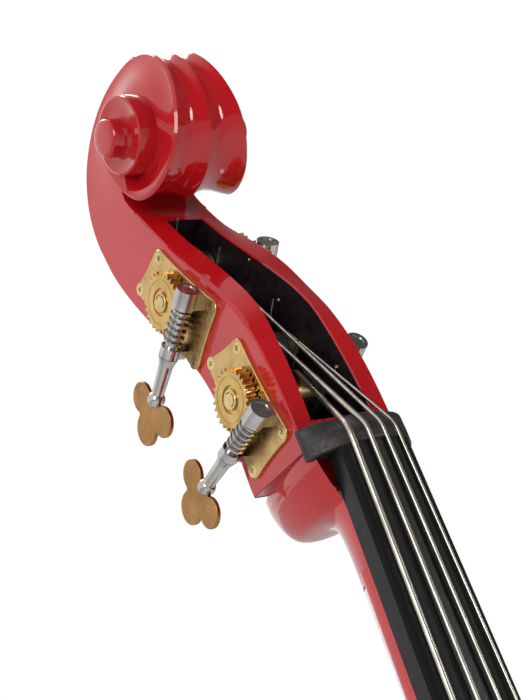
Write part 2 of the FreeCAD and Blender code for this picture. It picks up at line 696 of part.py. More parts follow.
def nut(string_solids):
    """The crowned ebony nut, grooved for the strings, in the neck's frame."""
    left, right = Vector(-NUT_HALF_WIDTH, NUT_SEAT_Y, 0), Vector(NUT_HALF_WIDTH, NUT_SEAT_Y, 0)
    end_left, end_right = Vector(-NUT_HALF_WIDTH, NUT_END_Y, 0), Vector(NUT_HALF_WIDTH, NUT_END_Y, 0)
    crown = Part.Arc(end_right, Vector(0, NUT_CROWN_Y, 0), end_left).toShape()
    block = prism([line(left, right), line(right, end_right), crown, line(end_left, left)],
                  Vector(0, 0, NUT_LENGTH))
    crest = [edge for edge in block.Edges if edge.BoundBox.ZMin > NUT_LENGTH - 0.1
             and edge.BoundBox.XLength > 60 and edge.BoundBox.YLength > 5]
    block = block.makeFillet(8.0, crest)
    for solid in string_solids:
        block = block.cut(solid)
    return max(block.Solids, key=lambda solid: solid.Volume)


# ---- Tuning machines, in their own frame -----------------------------------------------------------
def screw_places():
    """Where the plate's four screws sit (a, b)."""
    return ((-13.5, 22.5), (11.5, 31.5), (17.5, -33.0), (-18.0, -34.0))


def machine_plate():
    """A thin brass plate with waisted sides, rounded corners and countersunk holes."""
    corners = [(-18.0, 27.5), (15.0, 37.0), (22.0, -38.5), (-22.5, -39.5)]
    waist = 1.6
    edges = []
    for (a0, b0), (a1, b1) in zip(corners, corners[1:] + corners[:1]):
        length = math.hypot(a1 - a0, b1 - b0)
        middle = Vector((a0 + a1) / 2 - (b1 - b0) / length * -waist, (b0 + b1) / 2 + (a1 - a0) / length * -waist, 0)
        edges.append(Part.Arc(Vector(a0, b0, 0), middle, Vector(a1, b1, 0)).toShape())
    slab = prism(edges, Vector(0, 0, MACHINE_PLATE))
    corners_up = [edge for edge in slab.Edges if edge.BoundBox.ZLength > 1 and edge.BoundBox.XLength < 0.1]
    slab = slab.makeFillet(5.0, corners_up)
    rim = [edge for edge in slab.Edges if edge.BoundBox.ZMin > MACHINE_PLATE - 0.01]
    slab = slab.makeChamfer(0.45, rim)
    slab = slab.cut(Part.makeCylinder(ROLLER_JOURNAL + 0.4, 10, Vector(0, 0, -4), Z_AXIS))
    for a, b in screw_places():
        slab = slab.cut(Part.makeCylinder(1.9, 10, Vector(a, b, -4), Z_AXIS))
        slab = slab.cut(Part.makeCone(1.9, 3.7, 1.6, Vector(a, b, MACHINE_PLATE - 1.6), Z_AXIS))
    return slab


def wood_screw(a, b):
    """One countersunk screw with a cross recess."""
    head = Part.makeCone(1.8, 3.6, 1.6, Vector(a, b, MACHINE_PLATE - 1.6), Z_AXIS)
    shank = rod(Vector(a, b, -12), Vector(a, b, MACHINE_PLATE - 1.6), 1.4)
    tip = Part.makeCone(1.4, 0.0, 0.9, Vector(a, b, -12), Vector(0, 0, -1))
    cross = [box((a - 1.7, b - 0.4, 1.3), (a + 1.7, b + 0.4, 3)), box((a - 0.4, b - 1.7, 1.3), (a + 0.4, b + 1.7, 3))]
    return fuse_all([head, shank, tip]).cut(fuse_all(cross))


def gear_outline(height, turn):
    """The worm wheel's pointed teeth as a closed wire at one height."""
    step = 2 * math.pi / GEAR_TEETH
    tip_half, root_half = 0.016, 0.083
    points = []
    for tooth in range(GEAR_TEETH):
        middle = -math.pi / 2 + turn + tooth * step
        for offset, radius in ((-root_half, GEAR_ROOT_RADIUS), (-tip_half, GEAR_TIP_RADIUS),
                               (tip_half, GEAR_TIP_RADIUS), (root_half, GEAR_ROOT_RADIUS)):
            points.append(Vector(radius * math.cos(middle + offset), radius * math.sin(middle + offset), height))
    return Part.makePolygon(points + points[:1])


def gear_wheel():
    """The brass worm wheel: slanted teeth, ring line, and a recess for its screw."""
    def lead(height):
        return (height - WORM_HEIGHT) * LEAD_TAN / GEAR_TIP_RADIUS

    wires = [gear_outline(height, lead(height)) for height in (GEAR_BACK, GEAR_FRONT)]
    wheel = Part.makeLoft(wires, True, True)
    wheel = wheel.cut(Part.makeCylinder(JOURNAL_RADIUS, 20, ORIGIN, Z_AXIS))
    recess = Part.makeCylinder(GEAR_RECESS_RADIUS, 5, Vector(0, 0, GEAR_FRONT - GEAR_RECESS_DEPTH), Z_AXIS)
    ring = Part.makeCylinder(12.3, 1, Vector(0, 0, GEAR_FRONT - 0.35), Z_AXIS)
    ring = ring.cut(Part.makeCylinder(11.9, 1, Vector(0, 0, GEAR_FRONT - 0.35), Z_AXIS))
    return wheel.cut(recess).cut(ring)


def gear_screw():
    """The slotted screw that holds the wheel on its roller."""
    floor = GEAR_FRONT - GEAR_RECESS_DEPTH
    head = Part.makeCylinder(5.6, 1.7, Vector(0, 0, floor), Z_AXIS)
    head = head.makeFillet(0.5, [edge for edge in head.Edges if edge.CenterOfMass.z > floor + 1.6])
    shank = rod(Vector(0, 0, floor - 10), Vector(0, 0, floor), 2.0)
    slot = Part.makeCylinder(4.3, 3, Vector(0, 0, floor + 0.8), Z_AXIS)
    slot = slot.cut(Part.makeCylinder(3.5, 3, Vector(0, 0, floor + 0.8), Z_AXIS))
    slot = slot.common(box((-6, -6, 0), (0.8, 6, 20)))
    return fuse_all([head, shank]).cut(slot)


def string_roller(name):
    """The roller: drum in the hollow, journals in both cheeks, end in the wheel."""
    wall, width = cheek_thickness(name), cavity_width(name)
    floor = GEAR_FRONT - GEAR_RECESS_DEPTH
    slack, far_slack = 0.8, 1.6
    end = rod(Vector(0, 0, GEAR_BACK), Vector(0, 0, floor), JOURNAL_RADIUS)
    near = rod(Vector(0, 0, -wall - 1), Vector(0, 0, GEAR_BACK), ROLLER_JOURNAL)
    drum = rod(Vector(0, 0, -wall - width + far_slack), Vector(0, 0, -wall - slack), ROLLER_RADIUS)
    far = rod(Vector(0, 0, -wall - width - FAR_BUSH_LENGTH + 0.8), Vector(0, 0, -wall - width + 2), ROLLER_JOURNAL)
    tapped = rod(Vector(0, 0, floor - 10), Vector(0, 0, floor), 2.0)
    return fuse_all([end, near, drum, far]).cut(tapped)


def roller_bushes(name):
    """The two brass bushes that a roller turns in."""
    wall, width = cheek_thickness(name), cavity_width(name)
    spans = ((-wall + 0.4, -0.2), (-wall - width - FAR_BUSH_LENGTH, -wall - width - 0.5))
    bushes = []
    for low, high in spans:
        ring = rod(Vector(0, 0, low), Vector(0, 0, high), BUSH_RADIUS)
        bushes.append(ring.cut(rod(Vector(0, 0, low - 1), Vector(0, 0, high + 1), ROLLER_JOURNAL + RUNNING_GAP)))
    return bushes


def roller_depth(name, across):
    """The place along a roller's axis that lies at a given X in the pegbox."""
    side, _, z, _ = MACHINES[name]
    return -(CHEEK_HALF - CHEEK_TAPER * z) + side * across


def string_coil(name):
    """The turns of string wound on the drum, as one sleeve."""
    radius = STRING_DIAMETER[name] / 2
    half = COIL_TURNS[name] * radius
    middle = roller_depth(name, COIL_MIDDLE[name])
    low, high = Vector(0, 0, middle - half), Vector(0, 0, middle + half)
    return rod(low, high, ROLLER_RADIUS + 2 * radius).cut(rod(low, high, ROLLER_RADIUS))


def worm_axis(a):
    """A point of the worm's axis."""
    return Vector(a, -WORM_OFFSET, WORM_HEIGHT)


def worm_thread():
    """The worm's thread, a helix of flat-topped section round the worm's own Z axis."""
    crest_half, base_half = 0.60, 1.42
    inner = WORM_ROOT_RADIUS - 0.25
    start = -PITCH * 2.5
    helix = Part.makeHelix(PITCH, PITCH * WORM_TURNS, WORM_ROOT_RADIUS)
    helix.translate(Vector(0, 0, start))
    corners = [Vector(inner, 0, start - base_half), Vector(WORM_TIP_RADIUS, 0, start - crest_half),
               Vector(WORM_TIP_RADIUS, 0, start + crest_half), Vector(inner, 0, start + base_half)]
    profile = Part.makePolygon(corners + corners[:1])
    return Part.Wire(helix.Edges).makePipeShell([profile], True, True)


def worm_shaft():
    """Worm, journals, collar, tapering stem and slotted ball, one steel turning."""
    core = rod(Vector(0, 0, WORM_START - 0.6), Vector(0, 0, WORM_END + 0.6), WORM_ROOT_RADIUS)
    threaded = core.fuse(worm_thread())
    threaded = threaded.common(rod(Vector(0, 0, WORM_START), Vector(0, 0, WORM_END), WORM_TIP_RADIUS + 1))
    to_machine = Matrix(0, 0, 1, 0, 1, 0, 0, -WORM_OFFSET, 0, 1, 0, WORM_HEIGHT)
    threaded = threaded.transformed(to_machine)
    head = rod(worm_axis(CAP_END + 0.5), worm_axis(WORM_START), JOURNAL_RADIUS)
    journal = rod(worm_axis(WORM_END), worm_axis(COLLAR_END + 0.4), JOURNAL_RADIUS)
    collar = Part.makeCone(COLLAR_RADIUS, 4.2, 5.0, worm_axis(COLLAR_END + 0.3), X_AXIS)
    stem = Part.makeCone(4.0, 3.2, KEY_BALL - COLLAR_END - 4, worm_axis(COLLAR_END + 4), X_AXIS)
    ball = Part.makeSphere(KEY_BALL_RADIUS, worm_axis(KEY_BALL))
    shaft = fuse_all([threaded, head, journal, collar, stem, ball])
    return shaft.cut(key_plate())


def key_plate():
    """The brass clover: three lobes round a waist, held in the ball's slot."""
    low = WORM_HEIGHT - KEY_THICKNESS / 2
    lobes = ((6.5, 12.0, 8.6), (19.0, 0.0, 9.4), (6.5, -12.0, 8.6), (9.0, 0.0, 9.0))
    discs = [Part.makeCylinder(radius, KEY_THICKNESS, Vector(KEY_BALL + a, b - WORM_OFFSET, low), Z_AXIS)
             for a, b, radius in lobes]
    clover = fuse_all(discs)
    sharp = [edge for edge in clover.Edges if edge.BoundBox.ZLength > 2]
    clover = clover.makeFillet(1.6, sharp)
    rims = [edge for edge in clover.Edges if edge.BoundBox.ZLength < 0.01]
    clover = clover.makeFillet(0.5, rims)
    return clover


def bearing_posts():
    """The two steel posts that carry the worm: a cap at its head and a ring at its collar."""
    posts = []
    for start, end, radius in ((CAP_END, WORM_START - 0.25, CAP_RADIUS), (WORM_END + 0.25, COLLAR_END, COLLAR_RADIUS)):
        barrel = rod(worm_axis(start), worm_axis(end), radius)
        foot = box((start + 1, -WORM_OFFSET - 4.4, MACHINE_PLATE), (end, -WORM_OFFSET + 4.4, WORM_HEIGHT))
        bore = rod(worm_axis(start - 1), worm_axis(end + 1), JOURNAL_RADIUS + RUNNING_GAP)
        posts.append(fuse_all([barrel, foot]).cut(bore))
    return Part.makeCompound(posts)


# ---- Strings -----------------------------------------------------------------------------------
def string_path(name):
    """One string's middle line, from the tailpiece to its wrap round the roller."""
    frame = neck_frame()
    nut_end, bridge_end = string_places()[name]
    radius = STRING_DIAMETER[name] / 2
    wrap = ROLLER_RADIUS + STRING_GAP + radius
    side, roller_y, roller_z, _ = MACHINES[name]
    nut_point = nut_end + (nut_end - bridge_end) * (NUT_BEND_AT / STRING_LENGTH)
    to_roller = Vector(STRING_ARRIVAL[name], roller_y, roller_z) - nut_point
    flat = Vector(0, to_roller.y, to_roller.z)
    swing = math.asin(wrap / flat.Length)
    direction = Rotation(X_AXIS, math.degrees(swing)).multVec(flat).normalize()
    reach = math.sqrt(flat.Length ** 2 - wrap ** 2)
    touch = nut_point + direction * reach
    touch.x = STRING_ARRIVAL[name]
    heading = (touch - nut_point).normalize()
    inward = (Vector(touch.x, roller_y, roller_z) - touch).normalize()
    inward = (inward - heading * inward.dot(heading)).normalize()
    wrap_turn = math.radians(150)
    wrap_points = [touch + heading * (wrap * math.sin(turn)) + inward * (wrap * (1 - math.cos(turn)))
                   for turn in (wrap_turn / 2, wrap_turn)]
    hole = tail_hole(STRING_NAMES.index(name))
    over_bridge = frame.multVec(bridge_end)
    leave = hole - Y_AXIS * 13.5
    points = [hole + Y_AXIS * 10, leave, over_bridge, frame.multVec(nut_point), frame.multVec(touch)]
    edges = rounded_path(points, [7.0, 8.0, NUT_BEND_RADIUS])
    edges.append(Part.Arc(points[-1], frame.multVec(wrap_points[0]), frame.multVec(wrap_points[1])).toShape())
    return edges


def string_solid(name):
    """One string as a round cord, with the ball that holds it behind the tailpiece."""
    cord = tube(string_path(name), STRING_DIAMETER[name] / 2)
    end = tail_hole(STRING_NAMES.index(name)) + Y_AXIS * 9.5
    return cord.fuse(rod(end, end + Y_AXIS * 7, 4.4)).removeSplitter()


def string_end(name):
    """The short free end that stands out of the coil."""
    _, roller_y, roller_z, _ = MACHINES[name]
    lift = ROLLER_RADIUS + STRING_DIAMETER[name] + 1.2
    turn = math.radians(TAIL_HEADING)
    middle = Vector(TAIL_ACROSS[name], roller_y + lift * math.sin(turn), roller_z + lift * math.cos(turn))
    heading = Vector(0, -math.cos(turn), math.sin(turn))
    return from_neck(rod(middle, middle + heading * TAIL_LENGTH, 0.6))


def build_machines():
    """Write every piece of the four tuning machines."""
    screws, bushes = [], []
    plate, wheel, fixing = machine_plate(), gear_wheel(), gear_screw()
    shaft, key, posts = worm_shaft(), key_plate(), bearing_posts()
    for name in STRING_NAMES:
        pieces = {
            "machine_plate_": plate,
            "gear_wheel_": wheel,
            "gear_screw_": fixing,
            "worm_shaft_": shaft,
            "key_": key,
            "bearing_posts_": posts,
            "string_roller_": string_roller(name),
            "string_coil_": string_coil(name),
        }
        for prefix, shape in pieces.items():
            export(prefix + name, from_neck(on_machine(name, shape)))
        screws += [from_neck(on_machine(name, wood_screw(a, b))) for a, b in screw_places()]
        bushes += [from_neck(on_machine(name, bush)) for bush in roller_bushes(name)]
    export("plate_screws", Part.makeCompound(screws))
    export("roller_bushes", Part.makeCompound(bushes))


def build_soundbox():
    """Write the soundbox's pieces and return the plates joined, for fitting the neck."""
    front, back = plates()
    neck_block, end_block = end_blocks()
    corners = corner_blocks()
    blockers = Part.makeCompound([neck_block, end_block] + corners.Solids)
    export("top_plate", front)
    export("back_plate", back)
    export("ribs", rib_garland())
    export("neck_block", neck_block)
    export("end_block", end_block)
    export("corner_blocks", corners)
    export("linings", lining_strips(blockers))
    export("bass_bar", bass_bar())
    export("sound_post", sound_post())
    export("saddle", saddle_block())
    return Part.makeCompound([front, back])


def main():
    """Build every piece and write it to the parts folder."""
    os.makedirs("parts", exist_ok=True)
    plates_solid = build_soundbox()
    export("neck_scroll", neck_and_scroll(plates_solid))
    export("fingerboard", from_neck(fingerboard()))
    strings = {name: string_solid(name) for name in STRING_NAMES}
    to_neck = neck_frame().inverse().toMatrix()
    export("nut", from_neck(nut([solid.transformed(to_neck) for solid in strings.values()])))
    for name, solid in strings.items():
        export("string_" + name, Part.makeCompound([solid, string_end(name)]))
    export("bridge", bridge(list(strings.values())))
    export("tailpiece", tailpiece())
    export("tail_cord", tail_cord())
    socket, pin, foot, screw = endpin_pieces()
    export("endpin_socket", socket)
    export("endpin_rod", pin)
    export("endpin_foot", foot)
    export("clamp_screw", screw)
    build_machines()


main()
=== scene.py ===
"""Three-quarter double bass in red lacquer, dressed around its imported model.

Each part of the instrument is a class with its sizes as fields. Sizes are in millimetres in
the neck's own frame (x to the treble side, y to the back, z along the neck, from the nut end
of the fingerboard) and become metres in the instrument's frame when a mesh is made.
"""

import logging
import math
from dataclasses import dataclass, field
from enum import Enum

import bmesh
import bpy
import numpy as np
from mathutils import Euler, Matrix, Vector
from mathutils.bvhtree import BVHTree


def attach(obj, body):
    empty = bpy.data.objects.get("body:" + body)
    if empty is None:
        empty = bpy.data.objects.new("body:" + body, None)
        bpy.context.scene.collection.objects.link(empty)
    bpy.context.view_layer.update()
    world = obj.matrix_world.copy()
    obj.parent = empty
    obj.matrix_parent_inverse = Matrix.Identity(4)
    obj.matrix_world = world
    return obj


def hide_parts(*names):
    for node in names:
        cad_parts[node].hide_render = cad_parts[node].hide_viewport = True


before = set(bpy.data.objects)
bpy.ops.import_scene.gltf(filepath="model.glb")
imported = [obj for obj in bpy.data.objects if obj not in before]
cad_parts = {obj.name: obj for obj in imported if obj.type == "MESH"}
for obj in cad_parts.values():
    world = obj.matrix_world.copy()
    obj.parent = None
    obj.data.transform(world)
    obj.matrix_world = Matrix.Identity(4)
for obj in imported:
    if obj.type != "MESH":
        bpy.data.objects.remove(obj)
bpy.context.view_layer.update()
LOG = logging.getLogger("bass")

Colour = tuple[float, float, float]
Point = tuple[float, float]
STRINGS = ("e", "a", "d", "g")


class Side(Enum):
    """The two sides of the instrument, as signs along x."""

    BASS = -1
    TREBLE = 1


class Grain(Enum):
    """The way a wood's grain runs, as stretch factors of its noise along x, y and z."""

    UPRIGHT = (1.0, 1.0, 0.05)
    ACROSS = (0.05, 1.0, 1.0)


# ---- Frame and mesh tools ------------------------------------------------------------------
@dataclass(frozen=True)
class NeckFrame:
    """Where the neck sits on the instrument: its origin in millimetres and its tilt."""

    origin: tuple[float, float, float] = (0.0, -63.6095, 1682.4177)
    tilt: float = -10.5

    def place(self, points: np.ndarray) -> np.ndarray:
        """Move points of the neck's frame, in mm, to the instrument's frame, in metres.

        Args:
            points: An array of x, y, z rows.

        Returns:
            The same points in the instrument's frame.
        """
        turn = np.array(Euler((math.radians(self.tilt), 0, 0)).to_matrix())
        return (points @ turn.T + np.array(self.origin)) / 1000.0


NECK = NeckFrame()


def spline(points: list[Point], count: int) -> np.ndarray:
    """A smooth curve through points, sampled evenly along its length.

    Args:
        points: The points that it passes through.
        count: How many samples to return.

    Returns:
        An array of count rows.
    """
    given = np.array(points, float)
    padded = np.vstack([2 * given[0] - given[1], given, 2 * given[-1] - given[-2]])
    steps = np.linspace(0, 1, 24, endpoint=False)[:, None]
    runs = []
    for before, start, end, after in zip(padded, padded[1:], padded[2:], padded[3:]):
        runs.append(0.5 * (2 * start + (end - before) * steps
                           + (2 * before - 5 * start + 4 * end - after) * steps ** 2
                           + (3 * start - before - 3 * end + after) * steps ** 3))
    dense = np.vstack(runs + [given[-1:]])
    reach = np.r_[0, np.cumsum(np.linalg.norm(np.diff(dense, axis=0), axis=1))]
    wanted = np.linspace(0, reach[-1], count)
    return np.column_stack([np.interp(wanted, reach, dense[:, axis]) for axis in range(dense.shape[1])])


def ease(value: np.ndarray | float) -> np.ndarray | float:
    """A smooth step from 0 to 1."""
    clipped = np.clip(value, 0, 1)
    return clipped * clipped * (3 - 2 * clipped)


@dataclass
class MeshMaker:
    """Collects grids of points into one mesh."""

    points: list[np.ndarray] = field(default_factory=list)
    faces: list[tuple[int, ...]] = field(default_factory=list)
    finishes: list[int] = field(default_factory=list)
    size: int = 0

    def grid(self, rows: np.ndarray, finish: int = 0, flip: bool = False, closed: bool = False) -> None:
        """Add a grid of points as quads.

        Args:
            rows: An array of rows, columns and x, y, z.
            finish: The material index of its faces.
            flip: Whether its faces are turned over.
            closed: Whether its last column joins its first.
        """
        count, width = rows.shape[:2]
        start = self.size
        self.points.append(rows.reshape(-1, 3))
        self.size += count * width
        for row in range(count - 1):
            for column in range(width if closed else width - 1):
                after = (column + 1) % width
                low, high = start + row * width, start + (row + 1) * width
                quad = (low + column, low + after, high + after, high + column)
                self.faces.append(quad[::-1] if flip else quad)
                self.finishes.append(finish)

    def one_side(self, rows: np.ndarray, side: Side, finish: int = 0) -> None:
        """Add a grid made for the treble side to the side it is meant for.

        Args:
            rows: An array of rows, columns and x, y, z.
            side: The side that it goes to.
            finish: The material index of its faces.
        """
        self.grid(rows * np.array([side.value, 1, 1]), finish, side is Side.TREBLE)

    def both_sides(self, rows: np.ndarray, finish: int = 0, flip: bool = False) -> None:
        """Add a grid made on the treble side and its mirror image on the bass side.

        Args:
            rows: An array of rows, columns and x, y, z.
            finish: The material index of its faces.
            flip: Whether the treble side's faces are turned over.
        """
        self.grid(rows, finish, flip)
        self.grid(rows * np.array([-1, 1, 1]), finish, not flip)

    def build(self, name: str, materials: list[bpy.types.Material], crease: float = 32.0,
              weld: float = 0.00001) -> bpy.types.Object:
        """Make the object, in the instrument's frame.

        Args:
            name: The piece's name.
            materials: Its materials, by index.
            crease: The angle in degrees above which an edge stays sharp.
            weld: The distance in metres under which points join.

        Returns:
            The new object, linked to the scene.
        """
        mesh = bpy.data.meshes.new(name)
        mesh.from_pydata(NECK.place(np.vstack(self.points)).tolist(), [], self.faces)
        mesh.polygons.foreach_set("material_index", self.finishes)
        for material in materials:
            mesh.materials.append(material)
        piece = bpy.data.objects.new(name, mesh)
        bpy.context.scene.collection.objects.link(piece)
        join_points(mesh, weld)
        mesh.polygons.foreach_set("use_smooth", [True] * len(mesh.polygons))
        mesh.set_sharp_from_angle(angle=math.radians(crease))
        return piece


def join_points(mesh: bpy.types.Mesh, distance: float) -> None:
    """Join points that lie together and drop faces that this leaves with no area.

    Args:
        mesh: The mesh to clean.
        distance: The joining distance in metres.
    """
    work = bmesh.new()
    work.from_mesh(mesh)
    bmesh.ops.remove_doubles(work, verts=work.verts, dist=distance)
    bmesh.ops.dissolve_degenerate(work, edges=work.edges, dist=distance)
    work.to_mesh(mesh)
    work.free()


def lathe(profile: list[Point], centre: Point, side: int, steps: int = 96) -> np.ndarray:
    """Turn a profile of (x, radius) pairs about an axis along x.

    Args:
        profile: The pairs, from one end to the other.
        centre: The axis's y and z.
        side: The sign of x.
        steps: Points round the axis.

    Returns:
        Rows of points, one for each profile pair.
    """
    angles = np.linspace(0, 2 * math.pi, steps, endpoint=False)
    rows = [np.column_stack([np.full(steps, side * x), centre[0] + radius * np.cos(angles),
                             centre[1] + radius * np.sin(angles)]) for x, radius in profile]
    return np.array(rows)


# ---- Finishes ------------------------------------------------------------------------------
class Shader:
    """A node material built round one principled surface."""

    def __init__(self, name: str) -> None:
        """Start an empty material.

        Args:
            name: The material's name.
        """
        self.material = bpy.data.materials.new(name)
        self.material.use_nodes = True
        self.tree = self.material.node_tree
        self.surface = self.tree.nodes["Principled BSDF"]
        self.place = self.add("ShaderNodeTexCoord").outputs["Object"]

    def add(self, kind: str, **settings: object) -> bpy.types.Node:
        """Add a node.

        Args:
            kind: The node's type name.
            settings: Attributes to set on it.

        Returns:
            The new node.
        """
        node = self.tree.nodes.new(kind)
        for key, value in settings.items():
            setattr(node, key, value)
        return node

    def link(self, source: bpy.types.NodeSocket, target: bpy.types.NodeSocket) -> None:
        """Join one node's output to another's input."""
        self.tree.links.new(source, target)

    def paint(self, source: bpy.types.NodeSocket) -> None:
        """Let a pattern give the surface its colour."""
        self.link(source, self.surface.inputs["Base Color"])

    def roughen(self, source: bpy.types.NodeSocket, low: float, high: float) -> None:
        """Let a pattern drive the roughness.

        Args:
            source: The pattern's value.
            low: The roughness where the value is low.
            high: The roughness where the value is high.
        """
        self.link(self.span(source, low, high), self.surface.inputs["Roughness"])

    def set(self, **values: object) -> None:
        """Set constant values on the surface's sockets, with underscores for spaces."""
        for key, value in values.items():
            socket = self.surface.inputs[key.replace("_", " ")]
            if isinstance(value, tuple) and len(value) == 3:
                value = (*value, 1.0)
            socket.default_value = value

    def stretched(self, factors: tuple[float, float, float]) -> bpy.types.NodeSocket:
        """The place on the surface, stretched along each axis.

        Args:
            factors: How many times more closely the pattern repeats along x, y and z.

        Returns:
            The socket that gives the stretched place.
        """
        mapping = self.add("ShaderNodeMapping")
        mapping.inputs["Scale"].default_value = factors
        self.link(self.place, mapping.inputs["Vector"])
        return mapping.outputs["Vector"]

    def noise(self, scale: float, detail: float = 3.0, rough: float = 0.5,
              place: bpy.types.NodeSocket | None = None) -> bpy.types.NodeSocket:
        """Add a noise pattern.

        Args:
            scale: Its repeats per metre.
            detail: Its layers of finer noise.
            rough: How strong the finer layers are.
            place: The place to read it at, if not the plain one.

        Returns:
            The socket that gives its value.
        """
        node = self.add("ShaderNodeTexNoise")
        node.inputs["Scale"].default_value = scale
        node.inputs["Detail"].default_value = detail
        node.inputs["Roughness"].default_value = rough
        self.link(place or self.place, node.inputs["Vector"])
        return node.outputs["Fac"]

    def ramp(self, source: bpy.types.NodeSocket, stops: list[tuple[float, Colour]]) -> bpy.types.NodeSocket:
        """Turn a value into colours.

        Args:
            source: The value.
            stops: Pairs of a place from 0 to 1 and a colour.

        Returns:
            The socket that gives the colour.
        """
        node = self.add("ShaderNodeValToRGB")
        elements = node.color_ramp.elements
        while len(elements) < len(stops):
            elements.new(0.5)
        for element, (place, colour) in zip(elements, stops):
            element.position = place
            element.color = (*colour, 1.0)
        self.link(source, node.inputs["Fac"])
        return node.outputs["Color"]

    def span(self, source: bpy.types.NodeSocket, low: float, high: float,
             start: float = 0.3, end: float = 0.7) -> bpy.types.NodeSocket:
        """Stretch a value from one range to another.

        Args:
            source: The value.
            low: What its start becomes.
            high: What its end becomes.
            start: The low end of its own range.
            end: The high end of its own range.

        Returns:
            The socket that gives the new value.
        """
        node = self.add("ShaderNodeMapRange")
        for key, value in (("From Min", start), ("From Max", end), ("To Min", low), ("To Max", high)):
            node.inputs[key].default_value = value
        self.link(source, node.inputs["Value"])
        return node.outputs["Result"]

    def mix(self, amount: bpy.types.NodeSocket, first: bpy.types.NodeSocket,
            second: Colour) -> bpy.types.NodeSocket:
        """Mix a pattern's colour with a plain one.

        Args:
            amount: How much of the plain colour, from 0 to 1.
            first: The pattern's colour.
            second: The plain colour.

        Returns:
            The socket that gives the mixed colour.
        """
        node = self.add("ShaderNodeMix", data_type="RGBA")
        self.link(amount, node.inputs["Factor"])
        self.link(first, node.inputs["A"])
        node.inputs["B"].default_value = (*second, 1.0)
        return node.outputs["Result"]

    def bump(self, source: bpy.types.NodeSocket, strength: float, height: float) -> None:
        """Raise the surface by a pattern.

        Args:
            source: The pattern's value.
            strength: How much of it shows.
            height: Its full height in metres.
        """
        node = self.add("ShaderNodeBump")
        node.inputs["Strength"].default_value = strength
        node.inputs["Distance"].default_value = height
        self.link(source, node.inputs["Height"])
        previous = self.surface.inputs["Normal"]
        if previous.is_linked:
            self.link(previous.links[0].from_socket, node.inputs["Normal"])
        self.link(node.outputs["Normal"], previous)


@dataclass(frozen=True)
class Lacquer:
    """Thick clear-coated paint: even colour, faint clouding and a slightly rippled gloss."""

    name: str
    colour: Colour
    cloud: Colour
    gloss: float = 0.14
    ripple: float = 0.05

    def make(self) -> bpy.types.Material:
        """Build the material."""
        shader = Shader(self.name)
        clouds = shader.noise(18.0, 4.0, 0.6)
        colour = shader.ramp(clouds, [(0.25, self.cloud), (0.6, self.colour)])
        shader.paint(colour)
        haze = shader.noise(140.0, 5.0, 0.65)
        shader.roughen(haze, self.gloss * 0.75, self.gloss * 1.5)
        shader.set(Coat_Weight=1.0, Coat_Roughness=0.03, Coat_IOR=1.48, IOR=1.5, Specular_IOR_Level=0.12)
        shader.bump(shader.noise(55.0, 2.0, 0.4), self.ripple, 0.0012)
        shader.bump(shader.noise(620.0, 2.0, 0.5), self.ripple * 0.8, 0.0002)
        return shader.material


@dataclass(frozen=True)
class Metal:
    """A worked metal: fine brushed lines, with tarnished and brighter patches scattered at random."""

    name: str
    colour: Colour
    tarnish: Colour
    bright: Colour
    roughness: float = 0.3
    brushed: tuple[float, float, float] = (1.0, 1.0, 1.0)
    scratch: float = 0.1
    tarnish_share: float = 0.5

    def make(self) -> bpy.types.Material:
        """Build the material."""
        shader = Shader(self.name)
        patches = shader.noise(95.0, 6.0, 0.62)
        reach = 0.30 + 0.30 * self.tarnish_share
        colour = shader.ramp(patches, [(reach - 0.14, self.tarnish), (reach + 0.14, self.colour)])
        colour = shader.mix(shader.span(shader.noise(30.0, 2.0), 0.0, 0.25), colour, self.bright)
        shader.paint(colour)
        lines = shader.noise(900.0, 4.0, 0.6, shader.stretched(self.brushed))
        shader.roughen(lines, self.roughness * 0.7, self.roughness * 1.4)
        shader.set(Metallic=1.0)
        shader.bump(lines, self.scratch, 0.00006)
        shader.bump(patches, self.scratch * 0.5, 0.00015)
        return shader.material


@dataclass(frozen=True)
class Wood:
    """Wood with long grain lines and a colour that drifts."""

    name: str
    light: Colour
    dark: Colour
    grain: Grain = Grain.UPRIGHT
    roughness: float = 0.4
    coat: float = 0.0
    lines: float = 420.0
    relief: float = 0.12
    shine: float = 0.5

    def make(self) -> bpy.types.Material:
        """Build the material."""
        shader = Shader(self.name)
        place = shader.stretched(self.grain.value)
        rings = shader.noise(self.lines, 5.0, 0.6, place)
        colour = shader.ramp(rings, [(0.32, self.dark), (0.62, self.light)])
        drift = shader.span(shader.noise(14.0, 2.0), 0.0, 0.35)
        shader.paint(shader.mix(drift, colour, self.dark))
        shader.roughen(rings, self.roughness * 1.25, self.roughness * 0.85)
        shader.set(Coat_Weight=self.coat, Coat_Roughness=0.12, Specular_IOR_Level=self.shine)
        shader.bump(rings, self.relief, 0.0003)
        return shader.material


@dataclass(frozen=True)
class Wrap:
    """Flat ribbon or thread wound round a core, seen as fine rings."""

    name: str
    colour: Colour
    gap: Colour
    roughness: float
    metallic: float

    def make(self) -> bpy.types.Material:
        """Build the material."""
        shader = Shader(self.name)
        wear = shader.noise(260.0, 4.0, 0.6, shader.stretched((1.0, 1.0, 0.15)))
        shader.paint(shader.ramp(wear, [(0.35, self.gap), (0.6, self.colour)]))
        shader.roughen(wear, self.roughness * 1.3, self.roughness * 0.8)
        shader.set(Metallic=self.metallic)
        rings = shader.noise(1500.0, 1.0, 0.3, shader.stretched((0.2, 0.2, 1.0)))
        shader.bump(rings, 0.15, 0.0002)
        return shader.material


